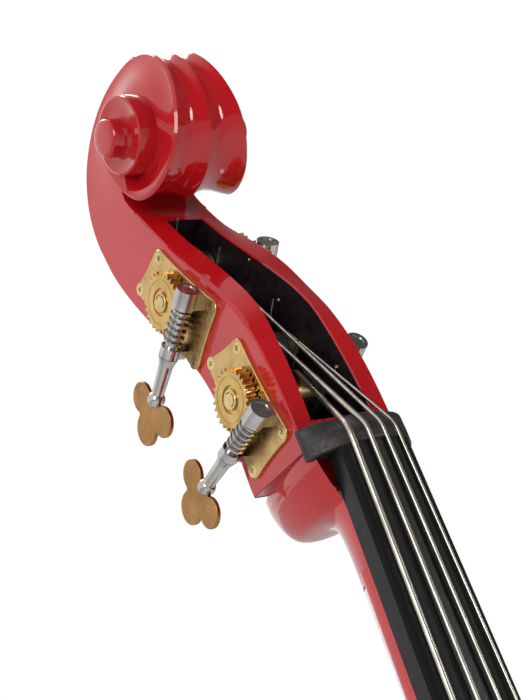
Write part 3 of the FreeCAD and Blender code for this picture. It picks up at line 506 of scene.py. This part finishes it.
@dataclass(frozen=True)
class Matt:
    """A matt moulded or painted surface with a fine even tooth."""

    name: str
    colour: Colour
    mottle: Colour
    roughness: float = 0.7
    tooth: float = 0.2
    scale: float = 160.0

    def make(self) -> bpy.types.Material:
        """Build the material."""
        shader = Shader(self.name)
        patches = shader.noise(self.scale, 5.0, 0.65)
        shader.paint(shader.ramp(patches, [(0.35, self.colour), (0.72, self.mottle)]))
        shader.roughen(patches, self.roughness * 0.8, self.roughness * 1.15)
        shader.bump(shader.noise(1400.0, 3.0, 0.6), self.tooth, 0.0002)
        return shader.material


@dataclass
class Finishes:
    """Every finish on the instrument, made once."""

    made: dict[str, bpy.types.Material] = field(default_factory=dict)

    def prepare(self) -> None:
        """Make all the materials."""
        recipes = (
            Lacquer("red_lacquer", (0.46, 0.006, 0.010), (0.36, 0.003, 0.006)),
            Matt("pegbox_black", (0.0035, 0.0028, 0.0035), (0.016, 0.008, 0.013), 0.42, 0.1, 210.0),
            Wood("ebony", (0.0095, 0.009, 0.009), (0.004, 0.0038, 0.0038),
                 roughness=0.36, lines=700.0, shine=0.3),
            Wood("nut_ebony", (0.034, 0.028, 0.026), (0.012, 0.010, 0.0095), Grain.ACROSS, 0.42,
                 lines=500.0, shine=0.35),
            Wood("maple", (0.62, 0.40, 0.20), (0.42, 0.24, 0.11), Grain.ACROSS, 0.45, 0.15, 260.0),
            Wood("spruce", (0.66, 0.48, 0.28), (0.48, 0.31, 0.16), roughness=0.7, lines=300.0),
            Metal("brass", (0.62, 0.41, 0.17), (0.44, 0.27, 0.095), (0.78, 0.58, 0.28),
                  0.30, (1.0, 1.0, 0.12)),
            Metal("gear_brass", (0.64, 0.43, 0.15), (0.46, 0.28, 0.085), (0.80, 0.58, 0.25), 0.28),
            Metal("key_brass", (0.42, 0.22, 0.07), (0.30, 0.145, 0.045), (0.55, 0.33, 0.13),
                  0.32, tarnish_share=0.8),
            Metal("screw_brass", (0.70, 0.52, 0.25), (0.40, 0.27, 0.10), (0.92, 0.76, 0.46), 0.22),
            Metal("roller_brass", (0.50, 0.36, 0.18), (0.30, 0.20, 0.09), (0.72, 0.58, 0.34), 0.34),
            Metal("steel", (0.50, 0.49, 0.47), (0.34, 0.33, 0.31), (0.66, 0.65, 0.63),
                  0.17, (1.0, 0.3, 0.3), 0.06),
            Metal("cord_steel", (0.20, 0.20, 0.21), (0.07, 0.07, 0.07), (0.5, 0.5, 0.5), 0.4),
            Wrap("string_steel", (0.62, 0.59, 0.51), (0.40, 0.37, 0.32), 0.30, 1.0),
            Wrap("string_silk", (0.035, 0.030, 0.032), (0.010, 0.009, 0.010), 0.6, 0.0),
            Matt("rubber", (0.012, 0.012, 0.012), (0.030, 0.029, 0.028), 0.8, 0.4),
            Matt("black_metal", (0.012, 0.012, 0.013), (0.022, 0.022, 0.023), 0.35, 0.15),
        )
        for recipe in recipes:
            self.made[recipe.name] = recipe.make()

    def __getitem__(self, name: str) -> bpy.types.Material:
        """The finish of that name."""
        return self.made[name]

    def dress(self, node: str, finish: str) -> None:
        """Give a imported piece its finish.

        Args:
            node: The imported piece's name.
            finish: The finish's name.
        """
        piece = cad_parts[node]
        piece.data.materials.clear()
        piece.data.materials.append(self.made[finish])
        LOG.info("dressed %s in %s", node, finish)


# ---- Carved head, neck and heel ---------------------------------------------------------------
@dataclass
class CarvedHead:
    """Pegbox and scroll, carved from one block with the neck."""

    finishes: Finishes
    cheek_half: float = 31.2
    cheek_taper: float = 0.04
    cavity_half: float = 20.3
    cavity_taper: float = 0.05
    back_edge: tuple[Point, ...] = (
        (69.9, 6.3), (70.6, 12), (71.2, 32), (73.3, 54.6), (78.3, 76.8), (87.9, 98.1), (103.3, 120.5),
        (118.1, 145.5), (128.6, 169), (133.8, 190.9))
    treble_edge: tuple[Point, ...] = (
        (15.3, 6.3), (15.5, 22), (16.4, 44), (19.6, 67), (25.6, 88), (34.0, 106), (45.0, 127.6),
        (58.2, 146.4), (75.0, 166.6), (82.0, 176.5), (89.0, 189.0))
    outer_edge: tuple[Point, ...] = ((15.3, 6.3), (15.6, 19), (17.2, 36), (20.2, 58), (25.2, 80), (34.0, 100),
                                     (42.0, 113), (51.0, 126.5), (59.8, 139.5), (68.0, 152.5), (75.6, 165.5),
                                     (82.0, 176.5), (89.0, 189.0))
    mouth_edge: tuple[Point, ...] = ((15.3, 6.3), (15.5, 22), (16.2, 36), (18.6, 60), (23.6, 87), (30.2, 103),
                                     (38.4, 116.5), (47.3, 129.5), (58.0, 144.3), (69.3, 160), (80.7, 177.9),
                                     (89.0, 189.0))
    floor_edge: tuple[Point, ...] = ((60.5, 22.5), (61.8, 50), (66.5, 76), (90.5, 120), (111.5, 165))
    pocket: tuple[Point, ...] = ((89, 189), (92, 194), (94.5, 200), (94.8, 205), (91, 208.5), (84, 210))
    foot: float = 6.3
    cavity_foot: float = 22.5
    cavity_head: float = 177.9
    eye: Point = (64.0, 221.0)
    drum_centre: Point = (64.0, 223.3)
    button_centre: Point = (64.0, 222.0)
    drum_radius: float = 22.0
    eye_reach: float = 44.0
    rim_angles: tuple[float, ...] = (
        -23.3, -6.6, 10.5, 31.6, 54.7, 81, 112.7, 141.6, 164.6, 187.8, 207.6, 226, 244.8, 268.4, 288, 305,
        327, 360, 400, 430)
    rim_radii: tuple[float, ...] = (76.0, 70.0, 64.6, 58.4, 53.2, 49.2, 47.3, 44.2, 41.6, 39.8, 38.9, 37.8,
                                    37.4, 36.4, 34.3, 30.5, 26.2, 23.4, 21.5, 20.2)
    rim_spread: tuple[float, ...] = (23.55, 22.4, 20.6, 17.9, 15.3, 13.4, 13.2, 15.0, 17.9, 21.0, 23.1, 25.1,
                                     27.1, 29.0, 30.1, 31.1, 32.3, 33.1, 33.5, 33.6)
    flute_depth: float = 3.2
    flute_end: float = 285.0
    flute_fade: float = 30.0
    dish_end: float = 300.0
    dish_focus: Point = (66.0, 221.0)
    pocket_angles: tuple[float, ...] = (-23.3, -17, -10, -3, 4, 12, 30)
    bevel: float = 1.3

    def cheek(self, z: np.ndarray | float) -> np.ndarray | float:
        """Half the pegbox's width at a height up the neck."""
        return self.cheek_half - self.cheek_taper * z

    def cavity(self, z: np.ndarray | float) -> np.ndarray | float:
        """Half the hollow's width at a height up the neck."""
        return self.cavity_half - self.cavity_taper * z

    def outer_band(self, edge: np.ndarray, outward: np.ndarray, spread: np.ndarray,
                   depth: np.ndarray) -> np.ndarray:
        """The fluted back of the head, from its middle ridge to the bevel of its rim.

        Args:
            edge: The rim's y and z at each station.
            outward: The direction out of the back at each station.
            spread: Half the width there.
            depth: The flute's depth there.

        Returns:
            Rows of points, one row for each station.
        """
        shares = np.linspace(0, 1, 15)
        hollow = np.sin(math.pi * shares ** 0.92) ** 1.25
        rows = []
        for place, out, half, deep in zip(edge, outward, spread, depth):
            across = shares * (half - self.bevel)
            offset = place - np.outer(hollow * deep, out)
            rows.append(np.column_stack([across, offset]))
        return np.array(rows)

    def pegbox(self, mesh: MeshMaker) -> None:
        """Cheeks, back, edges and hollow of the pegbox.

        Args:
            mesh: Where the grids are added.
        """
        count = 90
        back = spline(list(self.back_edge), count)
        mouth = spline(list(self.mouth_edge), 400)
        heights = np.linspace(self.foot, self.outer_edge[-1][1], count)
        tangent = np.gradient(back, axis=0)
        out = np.column_stack([tangent[:, 1], -tangent[:, 0]])
        out /= np.linalg.norm(out, axis=1)[:, None]
        depth = self.flute_depth * ease((back[:, 1] - 30) / 60)
        band = self.outer_band(back, out, self.cheek(back[:, 1]), depth)
        mesh.both_sides(band, 0, flip=True)
        inset = back - out * self.bevel
        shares = np.linspace(0, 1, 26)[None, :, None]
        for side, front_edge in ((Side.TREBLE, self.treble_edge), (Side.BASS, self.outer_edge)):
            outer = spline(list(front_edge), 400)
            front = np.column_stack([np.interp(heights, outer[:, 1], outer[:, 0]), heights])
            lip = front + (inset - front) / 50
            flat = inset[:, None] + (lip - inset)[:, None] * shares
            cheeks = np.concatenate([self.cheek(flat[..., 1:2]), flat], axis=2)
            edge = np.column_stack([self.cheek(heights) - 0.8, front])
            mesh.one_side(np.stack([band[:, -1], cheeks[:, 0]], axis=1), side)
            mesh.one_side(cheeks, side)
            mesh.one_side(np.stack([cheeks[:, -1], edge], axis=1), side)
            self.front_lip(mesh, edge, mouth, side)
        self.hollow(mesh, mouth)
        self.closing(mesh, front[0], back[0])

    def front_lip(self, mesh: MeshMaker, edge: np.ndarray, mouth: np.ndarray, side: Side) -> None:
        """One cheek's front face, and its half of the solid wood at each end of the hollow.

        Args:
            mesh: Where the grids are added.
            edge: The cheek's front edge, as x, y and z at each station.
            mouth: The mouth's y and z, closely sampled.
            side: The cheek's side.
        """
        heights = edge[:, 2]
        for low, high, solid in ((self.foot, self.cavity_foot, True),
                                 (self.cavity_foot, self.cavity_head, False),
                                 (self.cavity_head, heights[-1], True)):
            places = np.unique(np.r_[low, heights[(heights > low) & (heights < high)], high])
            outer = np.column_stack([np.interp(places, heights, edge[:, axis]) for axis in range(3)])
            inner_x = np.zeros(len(places)) if solid else self.cavity(places) + 0.6
            inner = np.column_stack([inner_x, np.interp(places, mouth[:, 1], mouth[:, 0]), places])
            shares = np.linspace(0, 1, 7)[None, :, None]
            mesh.one_side(outer[:, None] + (inner - outer)[:, None] * shares, side)

    def hollow(self, mesh: MeshMaker, mouth: np.ndarray) -> None:
        """The black hollow that the rollers cross.

        Args:
            mesh: Where the grids are added.
            mouth: The mouth's y and z, closely sampled.
        """
        places = np.linspace(self.cavity_foot, self.cavity_head, 80)
        rim = np.column_stack([np.interp(places, mouth[:, 1], mouth[:, 0]), places])
        floor = spline(list(self.floor_edge), len(rim))
        lip = np.column_stack([self.cavity(rim[:, 1]) + 0.6, rim])
        turn = np.column_stack([self.cavity(rim[:, 1]), rim + (floor - rim) * 0.02])
        low = np.column_stack([self.cavity(floor[:, 1]), floor])
        middle = np.column_stack([np.zeros(len(floor)), floor + np.array([1.5, 0])])
        mesh.both_sides(np.stack([lip, turn], axis=1), 0, flip=True)
        walls = turn[:, None] + (low - turn)[:, None] * np.linspace(0, 1, 12)[None, :, None]
        mesh.both_sides(walls, 1, flip=True)
        mesh.both_sides(np.stack([low, middle], axis=1), 1, flip=True)
        for end, turned in ((0, False), (-1, True)):
            wall = np.stack([walls[end], walls[end] * np.array([0, 1, 1])], axis=1)
            mesh.both_sides(wall, 1, flip=turned)

    def closing(self, mesh: MeshMaker, front: np.ndarray, back: np.ndarray) -> None:
        """The flat underside of the pegbox, beside the neck.

        Args:
            mesh: Where the grid is added.
            front: The y and z of its front edge.
            back: The y and z of its back edge.
        """
        shares = np.linspace(0, 1, 9)[:, None, None]
        reach = np.array([0.0, 1.0])[None, :, None] * np.array([self.cheek(self.foot) - 0.2, 0, 0])
        path = np.column_stack([[0, 0], [front[0], back[0] - self.bevel], [front[1], back[1]]])
        mesh.both_sides(path[0] + (path[1] - path[0]) * shares + reach, 0)

    def volute(self, mesh: MeshMaker) -> None:
        """The scroll's turns: fluted band, stepped rims and dished sides.

        Args:
            mesh: Where the grids are added.
        """
        angles = np.linspace(self.rim_angles[0], self.rim_angles[-1], 230)
        radii = smooth_values(self.rim_angles, self.rim_radii, angles)
        spread = smooth_values(self.rim_angles, self.rim_spread, angles)
        turns = np.radians(angles)
        out = np.column_stack([np.cos(turns), np.sin(turns)])
        rim = np.array(self.eye) + out * radii[:, None]
        tangent = np.gradient(rim, axis=0)
        out = np.column_stack([tangent[:, 1], -tangent[:, 0]])
        out /= np.linalg.norm(out, axis=1)[:, None]
        fade = 1 - ease((angles - self.flute_end) / self.flute_fade)
        band = self.outer_band(rim, out, spread, self.flute_depth * fade)
        mesh.both_sides(band, 0, flip=True)
        pocket = np.array(self.pocket)
        goals = np.column_stack([np.interp(angles, self.pocket_angles, np.r_[pocket[:, axis], last])
                                 for axis, last in enumerate(self.dish_focus)])
        goals += out * (8 * ease((angles - 12) / 40))[:, None]
        shares = np.linspace(0, 1, 34)
        rows = []
        for place, away, half, goal, angle in zip(rim, out, spread, goals, angles):
            start = place - away * self.bevel
            flat = start + (goal - start) * shares[:, None]
            distance = np.linalg.norm(flat - start, axis=1)
            clear = max(np.linalg.norm(start - np.array(self.drum_centre)) - self.drum_radius, 1.0)
            depth = ease(np.minimum(distance / clear, 1.0)) if angle < self.dish_end else shares * 0
            plane = self.cheek(flat[:, 1])
            joined = ease((angle - self.rim_angles[0]) / 30)
            across = (1 - joined) * plane + joined * (half + (plane - half) * depth)
            rows.append(np.column_stack([across, flat]))
        rows = np.array(rows)
        mesh.both_sides(np.stack([band[:, -1], rows[:, 0]], axis=1), 0, flip=True)
        mesh.both_sides(rows, 0, flip=True)

    def eyes(self, mesh: MeshMaker) -> None:
        """The last turn's drum and the round eye that ends it.

        Args:
            mesh: Where the grids are added.
        """
        radius, reach = self.drum_radius, self.eye_reach
        drum = [(16, radius), (32.2, radius), (33.5, radius - 0.4), (34.0, radius - 1.5),
                (33.6, radius - 3.0), (32.9, radius - 5.5), (32.6, radius - 8.5), (32.8, 10.0), (32.8, 5.0)]
        button = [(30.0, 12.2), (33.2, 11.9), (34.4, 11.2), (36.0, 10.9), (reach - 1.2, 10.4),
                  (reach - 0.4, 9.8), (reach, 8.8), (reach + 0.1, 4.5), (reach + 0.1, 0.01)]
        for side in (1, -1):
            mesh.grid(lathe(drum, self.drum_centre, side), 0, flip=side > 0, closed=True)
            mesh.grid(lathe(button, self.button_centre, side), 0, flip=side > 0, closed=True)

    def throat(self, mesh: MeshMaker) -> None:
        """The wood under the scroll, where the pegbox ends.

        Args:
            mesh: Where the grid is added.
        """
        path = spline(list(self.pocket), 24)
        shares = np.linspace(0, 1, 7)[None, :, None]
        edge = np.column_stack([self.cheek(path[:, 1]), path])
        middle = edge * np.array([0, 1, 1])
        mesh.both_sides(edge[:, None] + (middle - edge)[:, None] * shares, 0, flip=True)

    def build(self) -> bpy.types.Object:
        """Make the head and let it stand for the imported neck's upper part.

        Returns:
            The finished piece.
        """
        mesh = MeshMaker()
        self.pegbox(mesh)
        self.volute(mesh)
        self.eyes(mesh)
        self.throat(mesh)
        piece = mesh.build("carved_head", [self.finishes["red_lacquer"], self.finishes["pegbox_black"]])
        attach(piece, "root")
        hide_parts("neck_scroll")
        LOG.info("carved head: %d faces", len(piece.data.polygons))
        return piece


def smooth_values(keys: tuple[float, ...], values: tuple[float, ...], wanted: np.ndarray) -> np.ndarray:
    """Values read from a smooth curve through keys.

    Args:
        keys: Where the values are given.
        values: The values.
        wanted: Where they are wanted.

    Returns:
        A value for each wanted place.
    """
    curve = spline(list(zip(keys, values)), 600)
    return np.interp(wanted, curve[:, 0], curve[:, 1])


@dataclass
class NeckAndHeel:
    """The round-backed neck, its swelling behind the nut, and the heel that meets the soundbox."""

    finishes: Finishes
    join: float = -60.0
    chin_back: tuple[Point, ...] = (
        (38.4, -66), (38.9, -55), (39.8, -42), (43.0, -31), (51.0, -25), (62.0, -23), (74.0, -21.0),
        (83.0, -17), (89.5, -10), (93.0, -1), (94.0, 7))
    half_widths: tuple[Point, ...] = (
        (-66, 23.2), (-32, 22.2), (-24, 22.6), (-14, 26.0), (-2, 29.0), (7, 29.4))
    board_side: float = 10.9
    nut_seat: float = 15.0

    def chin(self) -> bpy.types.Object:
        """Shape the swelling as sections that deepen towards the pegbox.

        Returns:
            The finished piece.
        """
        profile = spline(list(self.chin_back), 70)
        heights = profile[:, 1]
        widths = np.interp(heights, *np.array(self.half_widths).T)
        turn = np.linspace(0, math.pi, 65)
        tops = np.where(heights < -0.3, self.board_side, self.nut_seat)
        rows = [np.column_stack([half * np.cos(turn), top + (deep - top) * np.sin(turn),
                                 np.full(len(turn), height)])
                for half, top, (deep, height) in zip(widths, tops, profile)]
        mesh = MeshMaker()
        mesh.grid(np.array(rows), 0)
        return mesh.build("chin", [self.finishes["red_lacquer"]], 60.0)

    def shaft(self) -> bpy.types.Object:
        """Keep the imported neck's shaft and heel as a piece of their own.

        Returns:
            The finished piece.
        """
        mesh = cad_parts["neck_scroll"].data.copy()
        mesh.name = "neck_and_heel"
        top = Vector(NECK.place(np.array([[0.0, 0.0, self.join]]))[0])
        up = Euler((math.radians(NECK.tilt), 0, 0)).to_matrix() @ Vector((0, 0, 1))
        work = bmesh.new()
        work.from_mesh(mesh)
        parts = work.verts[:] + work.edges[:] + work.faces[:]
        bmesh.ops.bisect_plane(work, geom=parts, plane_co=top, plane_no=up, clear_outer=True)
        work.to_mesh(mesh)
        work.free()
        mesh.materials.clear()
        mesh.materials.append(self.finishes["red_lacquer"])
        piece = bpy.data.objects.new("neck_and_heel", mesh)
        bpy.context.scene.collection.objects.link(piece)
        return piece

    def build(self) -> None:
        """Make the shaft and the chin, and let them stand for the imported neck."""
        for piece in (self.shaft(), self.chin()):
            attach(piece, "root")
            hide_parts("neck_scroll")
            LOG.info("%s: %d faces", piece.name, len(piece.data.polygons))


# ---- Tuning machines -----------------------------------------------------------------------------
@dataclass(frozen=True)
class MachinePlace:
    """Where a machine sits on its cheek, and how its coil lies on the roller."""

    side: Side
    centre: Point
    coil_middle: float
    turns: float
    thickness: float


@dataclass
class TuningMachines:
    """Four worm machines with their string coils."""

    finishes: Finishes
    roller_radius: float = 8.0
    steps_per_turn: int = 40
    cheek_half: float = 31.2
    cheek_taper: float = 0.04
    places: dict[str, MachinePlace] = field(default_factory=lambda: {
        "e": MachinePlace(Side.BASS, (48.0, 52.9), 11.5, 2.4, 3.4),
        "a": MachinePlace(Side.BASS, (79.6, 127.9), 2.5, 3.2, 2.9),
        "d": MachinePlace(Side.TREBLE, (92.0, 155.0), -4.0, 3.6, 2.4),
        "g": MachinePlace(Side.TREBLE, (54.5, 82.0), 4.5, 4.2, 1.9),
    })

    def coil(self, name: str, place: MachinePlace) -> bpy.types.Object:
        """Wind a string's end round its roller.

        Args:
            name: The string's name.
            place: Its machine's place.

        Returns:
            The finished coil.
        """
        radius = place.thickness / 2
        lean = math.atan(self.cheek_taper)
        side = place.side.value
        axis = np.array([side * math.cos(lean), 0, math.sin(lean)])
        cheek = self.cheek_half - self.cheek_taper * place.centre[1]
        centre = np.array([side * cheek, *place.centre])
        middle = -cheek + side * place.coil_middle
        first = np.array([0.0, 1.0, 0.0])
        second = np.cross(axis, first)
        count = int(place.turns * self.steps_per_turn)
        turn = np.linspace(0, 2 * math.pi * (place.turns - 0.5), count)
        along = middle + (np.linspace(-1, 1, count)) * radius * (place.turns - 1.0)
        reach = (self.roller_radius + radius - 0.02) * np.ones(count)
        path = (centre + np.outer(along, axis) + (reach * np.cos(turn))[:, None] * first
                + (reach * np.sin(turn))[:, None] * second)
        mesh = MeshMaker()
        mesh.grid(tube_rows(path, radius * 0.97, 14), 0, closed=True)
        piece = mesh.build("wound_coil_" + name, [self.finishes["string_silk"]], 60.0)
        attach(piece, "roller_" + name)
        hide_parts("string_coil_" + name)
        return piece

    def build(self) -> None:
        """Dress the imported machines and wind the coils."""
        for name, place in self.places.items():
            for prefix, finish in (("machine_plate_", "brass"), ("gear_wheel_", "gear_brass"),
                                   ("gear_screw_", "screw_brass"), ("worm_shaft_", "steel"),
                                   ("bearing_posts_", "steel"), ("key_", "key_brass"),
                                   ("string_roller_", "roller_brass")):
                self.finishes.dress(prefix + name, finish)
            self.coil(name, place)
            LOG.info("tuning machine %s done", name)
        self.finishes.dress("plate_screws", "screw_brass")
        self.finishes.dress("roller_bushes", "brass")


def tube_rows(path: np.ndarray, radius: float, sides: int) -> np.ndarray:
    """Rings of points round a path.

    Args:
        path: The path's points.
        radius: The tube's radius.
        sides: Points in each ring.

    Returns:
        Rows of points, with a small cap ring at each end.
    """
    heading = np.gradient(path, axis=0)
    heading /= np.linalg.norm(heading, axis=1)[:, None]
    across = np.cross(heading[0], [0.0, 0.0, 1.0])
    if np.linalg.norm(across) < 0.1:
        across = np.cross(heading[0], [0.0, 1.0, 0.0])
    angles = np.linspace(0, 2 * math.pi, sides, endpoint=False)
    rings = []
    for place, ahead in zip(path, heading):
        across = across - ahead * across.dot(ahead)
        across /= np.linalg.norm(across)
        other = np.cross(ahead, across)
        rings.append(place + radius * (np.outer(np.cos(angles), across) + np.outer(np.sin(angles), other)))
    first = path[0] + (rings[0] - path[0]) * 0.02 - heading[0] * radius * 0.25
    last = path[-1] + (rings[-1] - path[-1]) * 0.02 + heading[-1] * radius * 0.25
    return np.array([first] + rings + [last])


# ---- Strings, board, soundbox, endpin ------------------------------------------------------------------
@dataclass
class Nut:
    """The crowned nut, sloped away under the strings behind its crest."""

    finishes: Finishes
    half_width: float = 32.9
    length: float = 17.0
    seat: float = 15.0
    end_height: float = 12.5
    crown: float = -5.6
    edge: float = 0.9
    chamfer: float = 0.3
    bed: float = 0.9
    most_rise: float = 0.4
    least_web: float = 1.2
    search: float = 4.0

    def crest(self, x: float) -> float:
        """The crown's y at a place across the nut, before the strings press it down."""
        sag = self.end_height - self.crown
        radius = (self.half_width ** 2 + sag ** 2) / (2 * sag)
        return self.crown + radius - math.sqrt(radius ** 2 - x ** 2)

    def string_bottoms(self, heights: np.ndarray) -> list[tuple[np.ndarray, np.ndarray]]:
        """Find where each string's underside runs above the nut.

        Args:
            heights: The stations along the neck.

        Returns:
            For each string, its x and the y of its underside at every station.
        """
        found = []
        back = np.array(Euler((math.radians(NECK.tilt), 0, 0)).to_matrix())
        for name in STRINGS:
            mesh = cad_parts["string_" + name].data
            points = np.empty(len(mesh.vertices) * 3)
            mesh.vertices.foreach_get("co", points)
            local = (points.reshape(-1, 3) * 1000 - np.array(NECK.origin)) @ back
            tree = BVHTree.FromPolygons(local.tolist(), [tuple(face.vertices) for face in mesh.polygons])
            near = local[(np.abs(local[:, 2] - 5) < 12) & (np.abs(local[:, 0]) < 30)]
            middle = near[:, 0].mean()
            xs, ys = [], []
            for height in heights:
                hits = [(hit[0].y, x) for x in np.linspace(middle - self.search, middle + self.search, 33)
                        if (hit := tree.ray_cast(Vector((x, 30, height)), Vector((0, -1, 0))))[0]]
                low, x = max(hits)
                xs.append(x)
                ys.append(low)
            found.append((np.array(xs), np.array(ys)))
        return found

    def build(self) -> bpy.types.Object:
        """Make the nut.

        Returns:
            The finished piece.
        """
        stations = np.linspace(self.edge, self.length - self.edge, 22)
        strings = self.string_bottoms(stations)
        rows = []
        for x in np.linspace(-self.half_width, self.half_width, 90):
            arc = self.crest(x)
            tops = []
            for index in range(len(stations)):
                places = [string[0][index] for string in strings]
                drops = [max(string[1][index] - self.bed - self.crest(place), -self.most_rise)
                         for string, place in zip(strings, places)]
                drop = np.interp(x, [-self.half_width, *places, self.half_width], [0.0, *drops, 0.0])
                tops.append(min(arc + drop, self.seat - self.least_web))
            loop = [(self.seat, 0.0), (tops[0] + self.edge, 0.0), (tops[0] + self.chamfer, self.chamfer)]
            loop += list(zip(tops, stations))
            loop += [(tops[-1] + self.chamfer, self.length - self.chamfer),
                     (tops[-1] + self.edge, self.length), (self.seat, self.length)]
            rows.append([(x, y, z) for y, z in loop])
        rows = np.array(rows)
        caps = [row.mean(axis=0) + (row - row.mean(axis=0)) * 0.001 for row in (rows[0], rows[-1])]
        rows = np.concatenate([[caps[0]], rows, [caps[1]]])
        mesh = MeshMaker()
        mesh.grid(rows, 0, closed=True)
        piece = mesh.build("crowned_nut", [self.finishes["nut_ebony"]], 40.0)
        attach(piece, "root")
        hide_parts("nut")
        LOG.info("nut done")
        return piece


@dataclass
class StringBand:
    """Four strings with the ebony they run over."""

    finishes: Finishes

    def build(self) -> None:
        """Dress the strings, fingerboard, bridge and tailpiece."""
        for name in STRINGS:
            self.finishes.dress("string_" + name, "string_steel")
        for node, finish in (("fingerboard", "ebony"), ("tailpiece", "ebony"),
                             ("saddle", "ebony"), ("bridge", "maple"), ("tail_cord", "cord_steel")):
            self.finishes.dress(node, finish)
        LOG.info("strings and fittings done")


@dataclass
class Soundbox:
    """Arched plates, ribs and the wood inside them."""

    finishes: Finishes

    def build(self) -> None:
        """Dress the soundbox."""
        for node in ("top_plate", "back_plate", "ribs"):
            self.finishes.dress(node, "red_lacquer")
        for node in ("neck_block", "end_block", "corner_blocks", "linings", "bass_bar", "sound_post"):
            self.finishes.dress(node, "spruce")
        LOG.info("soundbox done")


@dataclass
class Endpin:
    """The sliding pin that the instrument stands on."""

    finishes: Finishes

    def build(self) -> None:
        """Dress the socket, rod, foot and clamp screw."""
        for node, finish in (("endpin_socket", "black_metal"), ("endpin_rod", "steel"),
                             ("endpin_foot", "rubber"), ("clamp_screw", "steel")):
            self.finishes.dress(node, finish)
        LOG.info("endpin done")


# ---- Studio ------------------------------------------------------------------------------------------
@dataclass
class Studio:
    """Pale floor, soft lights and the camera."""

    camera_place: tuple[float, float, float] = (-0.742716, -1.027312, 1.489686)
    camera_turn: tuple[float, float, float] = (102.11043, 14.40981, -32.59133)
    lens: float = 126.753
    bright_side: tuple[float, float, float] = (-1.0, 0.8, 0.15)
    dim: float = 0.12
    lights: tuple[tuple[str, tuple[float, float, float], tuple[float, float, float], float, float], ...] = (
        ("key_light", (-2.8, -2.4, 2.6), (0.0, 0.0, 1.75), 1.8, 55.0),
        ("top_light", (0.3, 1.5, 4.2), (0.0, 0.0, 1.4), 1.8, 45.0),
        ("front_light", (1.9, -3.0, 2.3), (0.0, 0.0, 1.5), 1.0, 30.0),
    )

    def floor(self) -> None:
        """Lay the pale floor."""
        mesh = bpy.data.meshes.new("floor")
        mesh.from_pydata([(-30, -30, 0), (30, -30, 0), (30, 30, 0), (-30, 30, 0)], [], [(0, 1, 2, 3)])
        floor = bpy.data.objects.new("floor", mesh)
        shader = Shader("pale_floor")
        tone = shader.ramp(shader.noise(3.0, 3.0), [(0.3, (0.80, 0.80, 0.80)), (0.7, (0.84, 0.84, 0.84))])
        shader.paint(tone)
        shader.set(Roughness=0.6)
        mesh.materials.append(shader.material)
        bpy.context.scene.collection.objects.link(floor)

    def lighting(self) -> None:
        """Hang the soft lights and fill the room with white."""
        for name, place, target, size, power in self.lights:
            light = bpy.data.lights.new(name, "AREA")
            light.shape = "DISK"
            light.size = size
            light.energy = power
            lamp = bpy.data.objects.new(name, light)
            lamp.location = place
            lamp.rotation_euler = (Vector(target) - Vector(place)).to_track_quat("-Z", "Y").to_euler()
            bpy.context.scene.collection.objects.link(lamp)
        self.room()

    def room(self) -> None:
        """Light the room, dimmer to the front and the treble side; the camera itself sees plain white."""
        world = bpy.data.worlds.new("room")
        world.use_nodes = True
        tree = world.node_tree
        background = tree.nodes["Background"]
        place = tree.nodes.new("ShaderNodeTexCoord")
        along = tree.nodes.new("ShaderNodeVectorMath")
        along.operation = "DOT_PRODUCT"
        along.inputs[1].default_value = self.bright_side
        tree.links.new(place.outputs["Generated"], along.inputs[0])
        level = tree.nodes.new("ShaderNodeMapRange")
        level.interpolation_type = "SMOOTHSTEP"
        for key, value in (("From Min", -0.3), ("From Max", 0.25), ("To Min", self.dim), ("To Max", 1.0)):
            level.inputs[key].default_value = value
        tree.links.new(along.outputs["Value"], level.inputs["Value"])
        seen = tree.nodes.new("ShaderNodeLightPath")
        strength = tree.nodes.new("ShaderNodeMath")
        strength.operation = "MAXIMUM"
        tree.links.new(level.outputs["Result"], strength.inputs[0])
        tree.links.new(seen.outputs["Is Camera Ray"], strength.inputs[1])
        tree.links.new(strength.outputs["Value"], background.inputs["Strength"])
        background.inputs["Color"].default_value = (1.0, 1.0, 1.0, 1.0)
        bpy.context.scene.world = world
        bpy.context.scene.view_settings.view_transform = "Standard"

    def camera(self) -> None:
        """Set up the camera."""
        lens = bpy.data.cameras.new("camera")
        lens.lens = self.lens
        lens.sensor_width = 36.0
        lens.clip_start = 0.05
        lens.clip_end = 100.0
        camera = bpy.data.objects.new("camera", lens)
        camera.location = self.camera_place
        camera.rotation_euler = Euler([math.radians(turn) for turn in self.camera_turn])
        bpy.context.scene.collection.objects.link(camera)
        bpy.context.scene.camera = camera

    def build(self) -> None:
        """Set up floor, lights and camera."""
        self.floor()
        self.lighting()
        self.camera()
        LOG.info("studio done")


def main() -> None:
    """Build the instrument's looks piece by piece."""
    logging.basicConfig(level=logging.INFO, format="%(name)s: %(message)s")
    finishes = Finishes()
    finishes.prepare()
    CarvedHead(finishes).build()
    NeckAndHeel(finishes).build()
    TuningMachines(finishes).build()
    Nut(finishes).build()
    StringBand(finishes).build()
    Soundbox(finishes).build()
    Endpin(finishes).build()
    Studio().build()


if __name__ == "__main__":
    main()
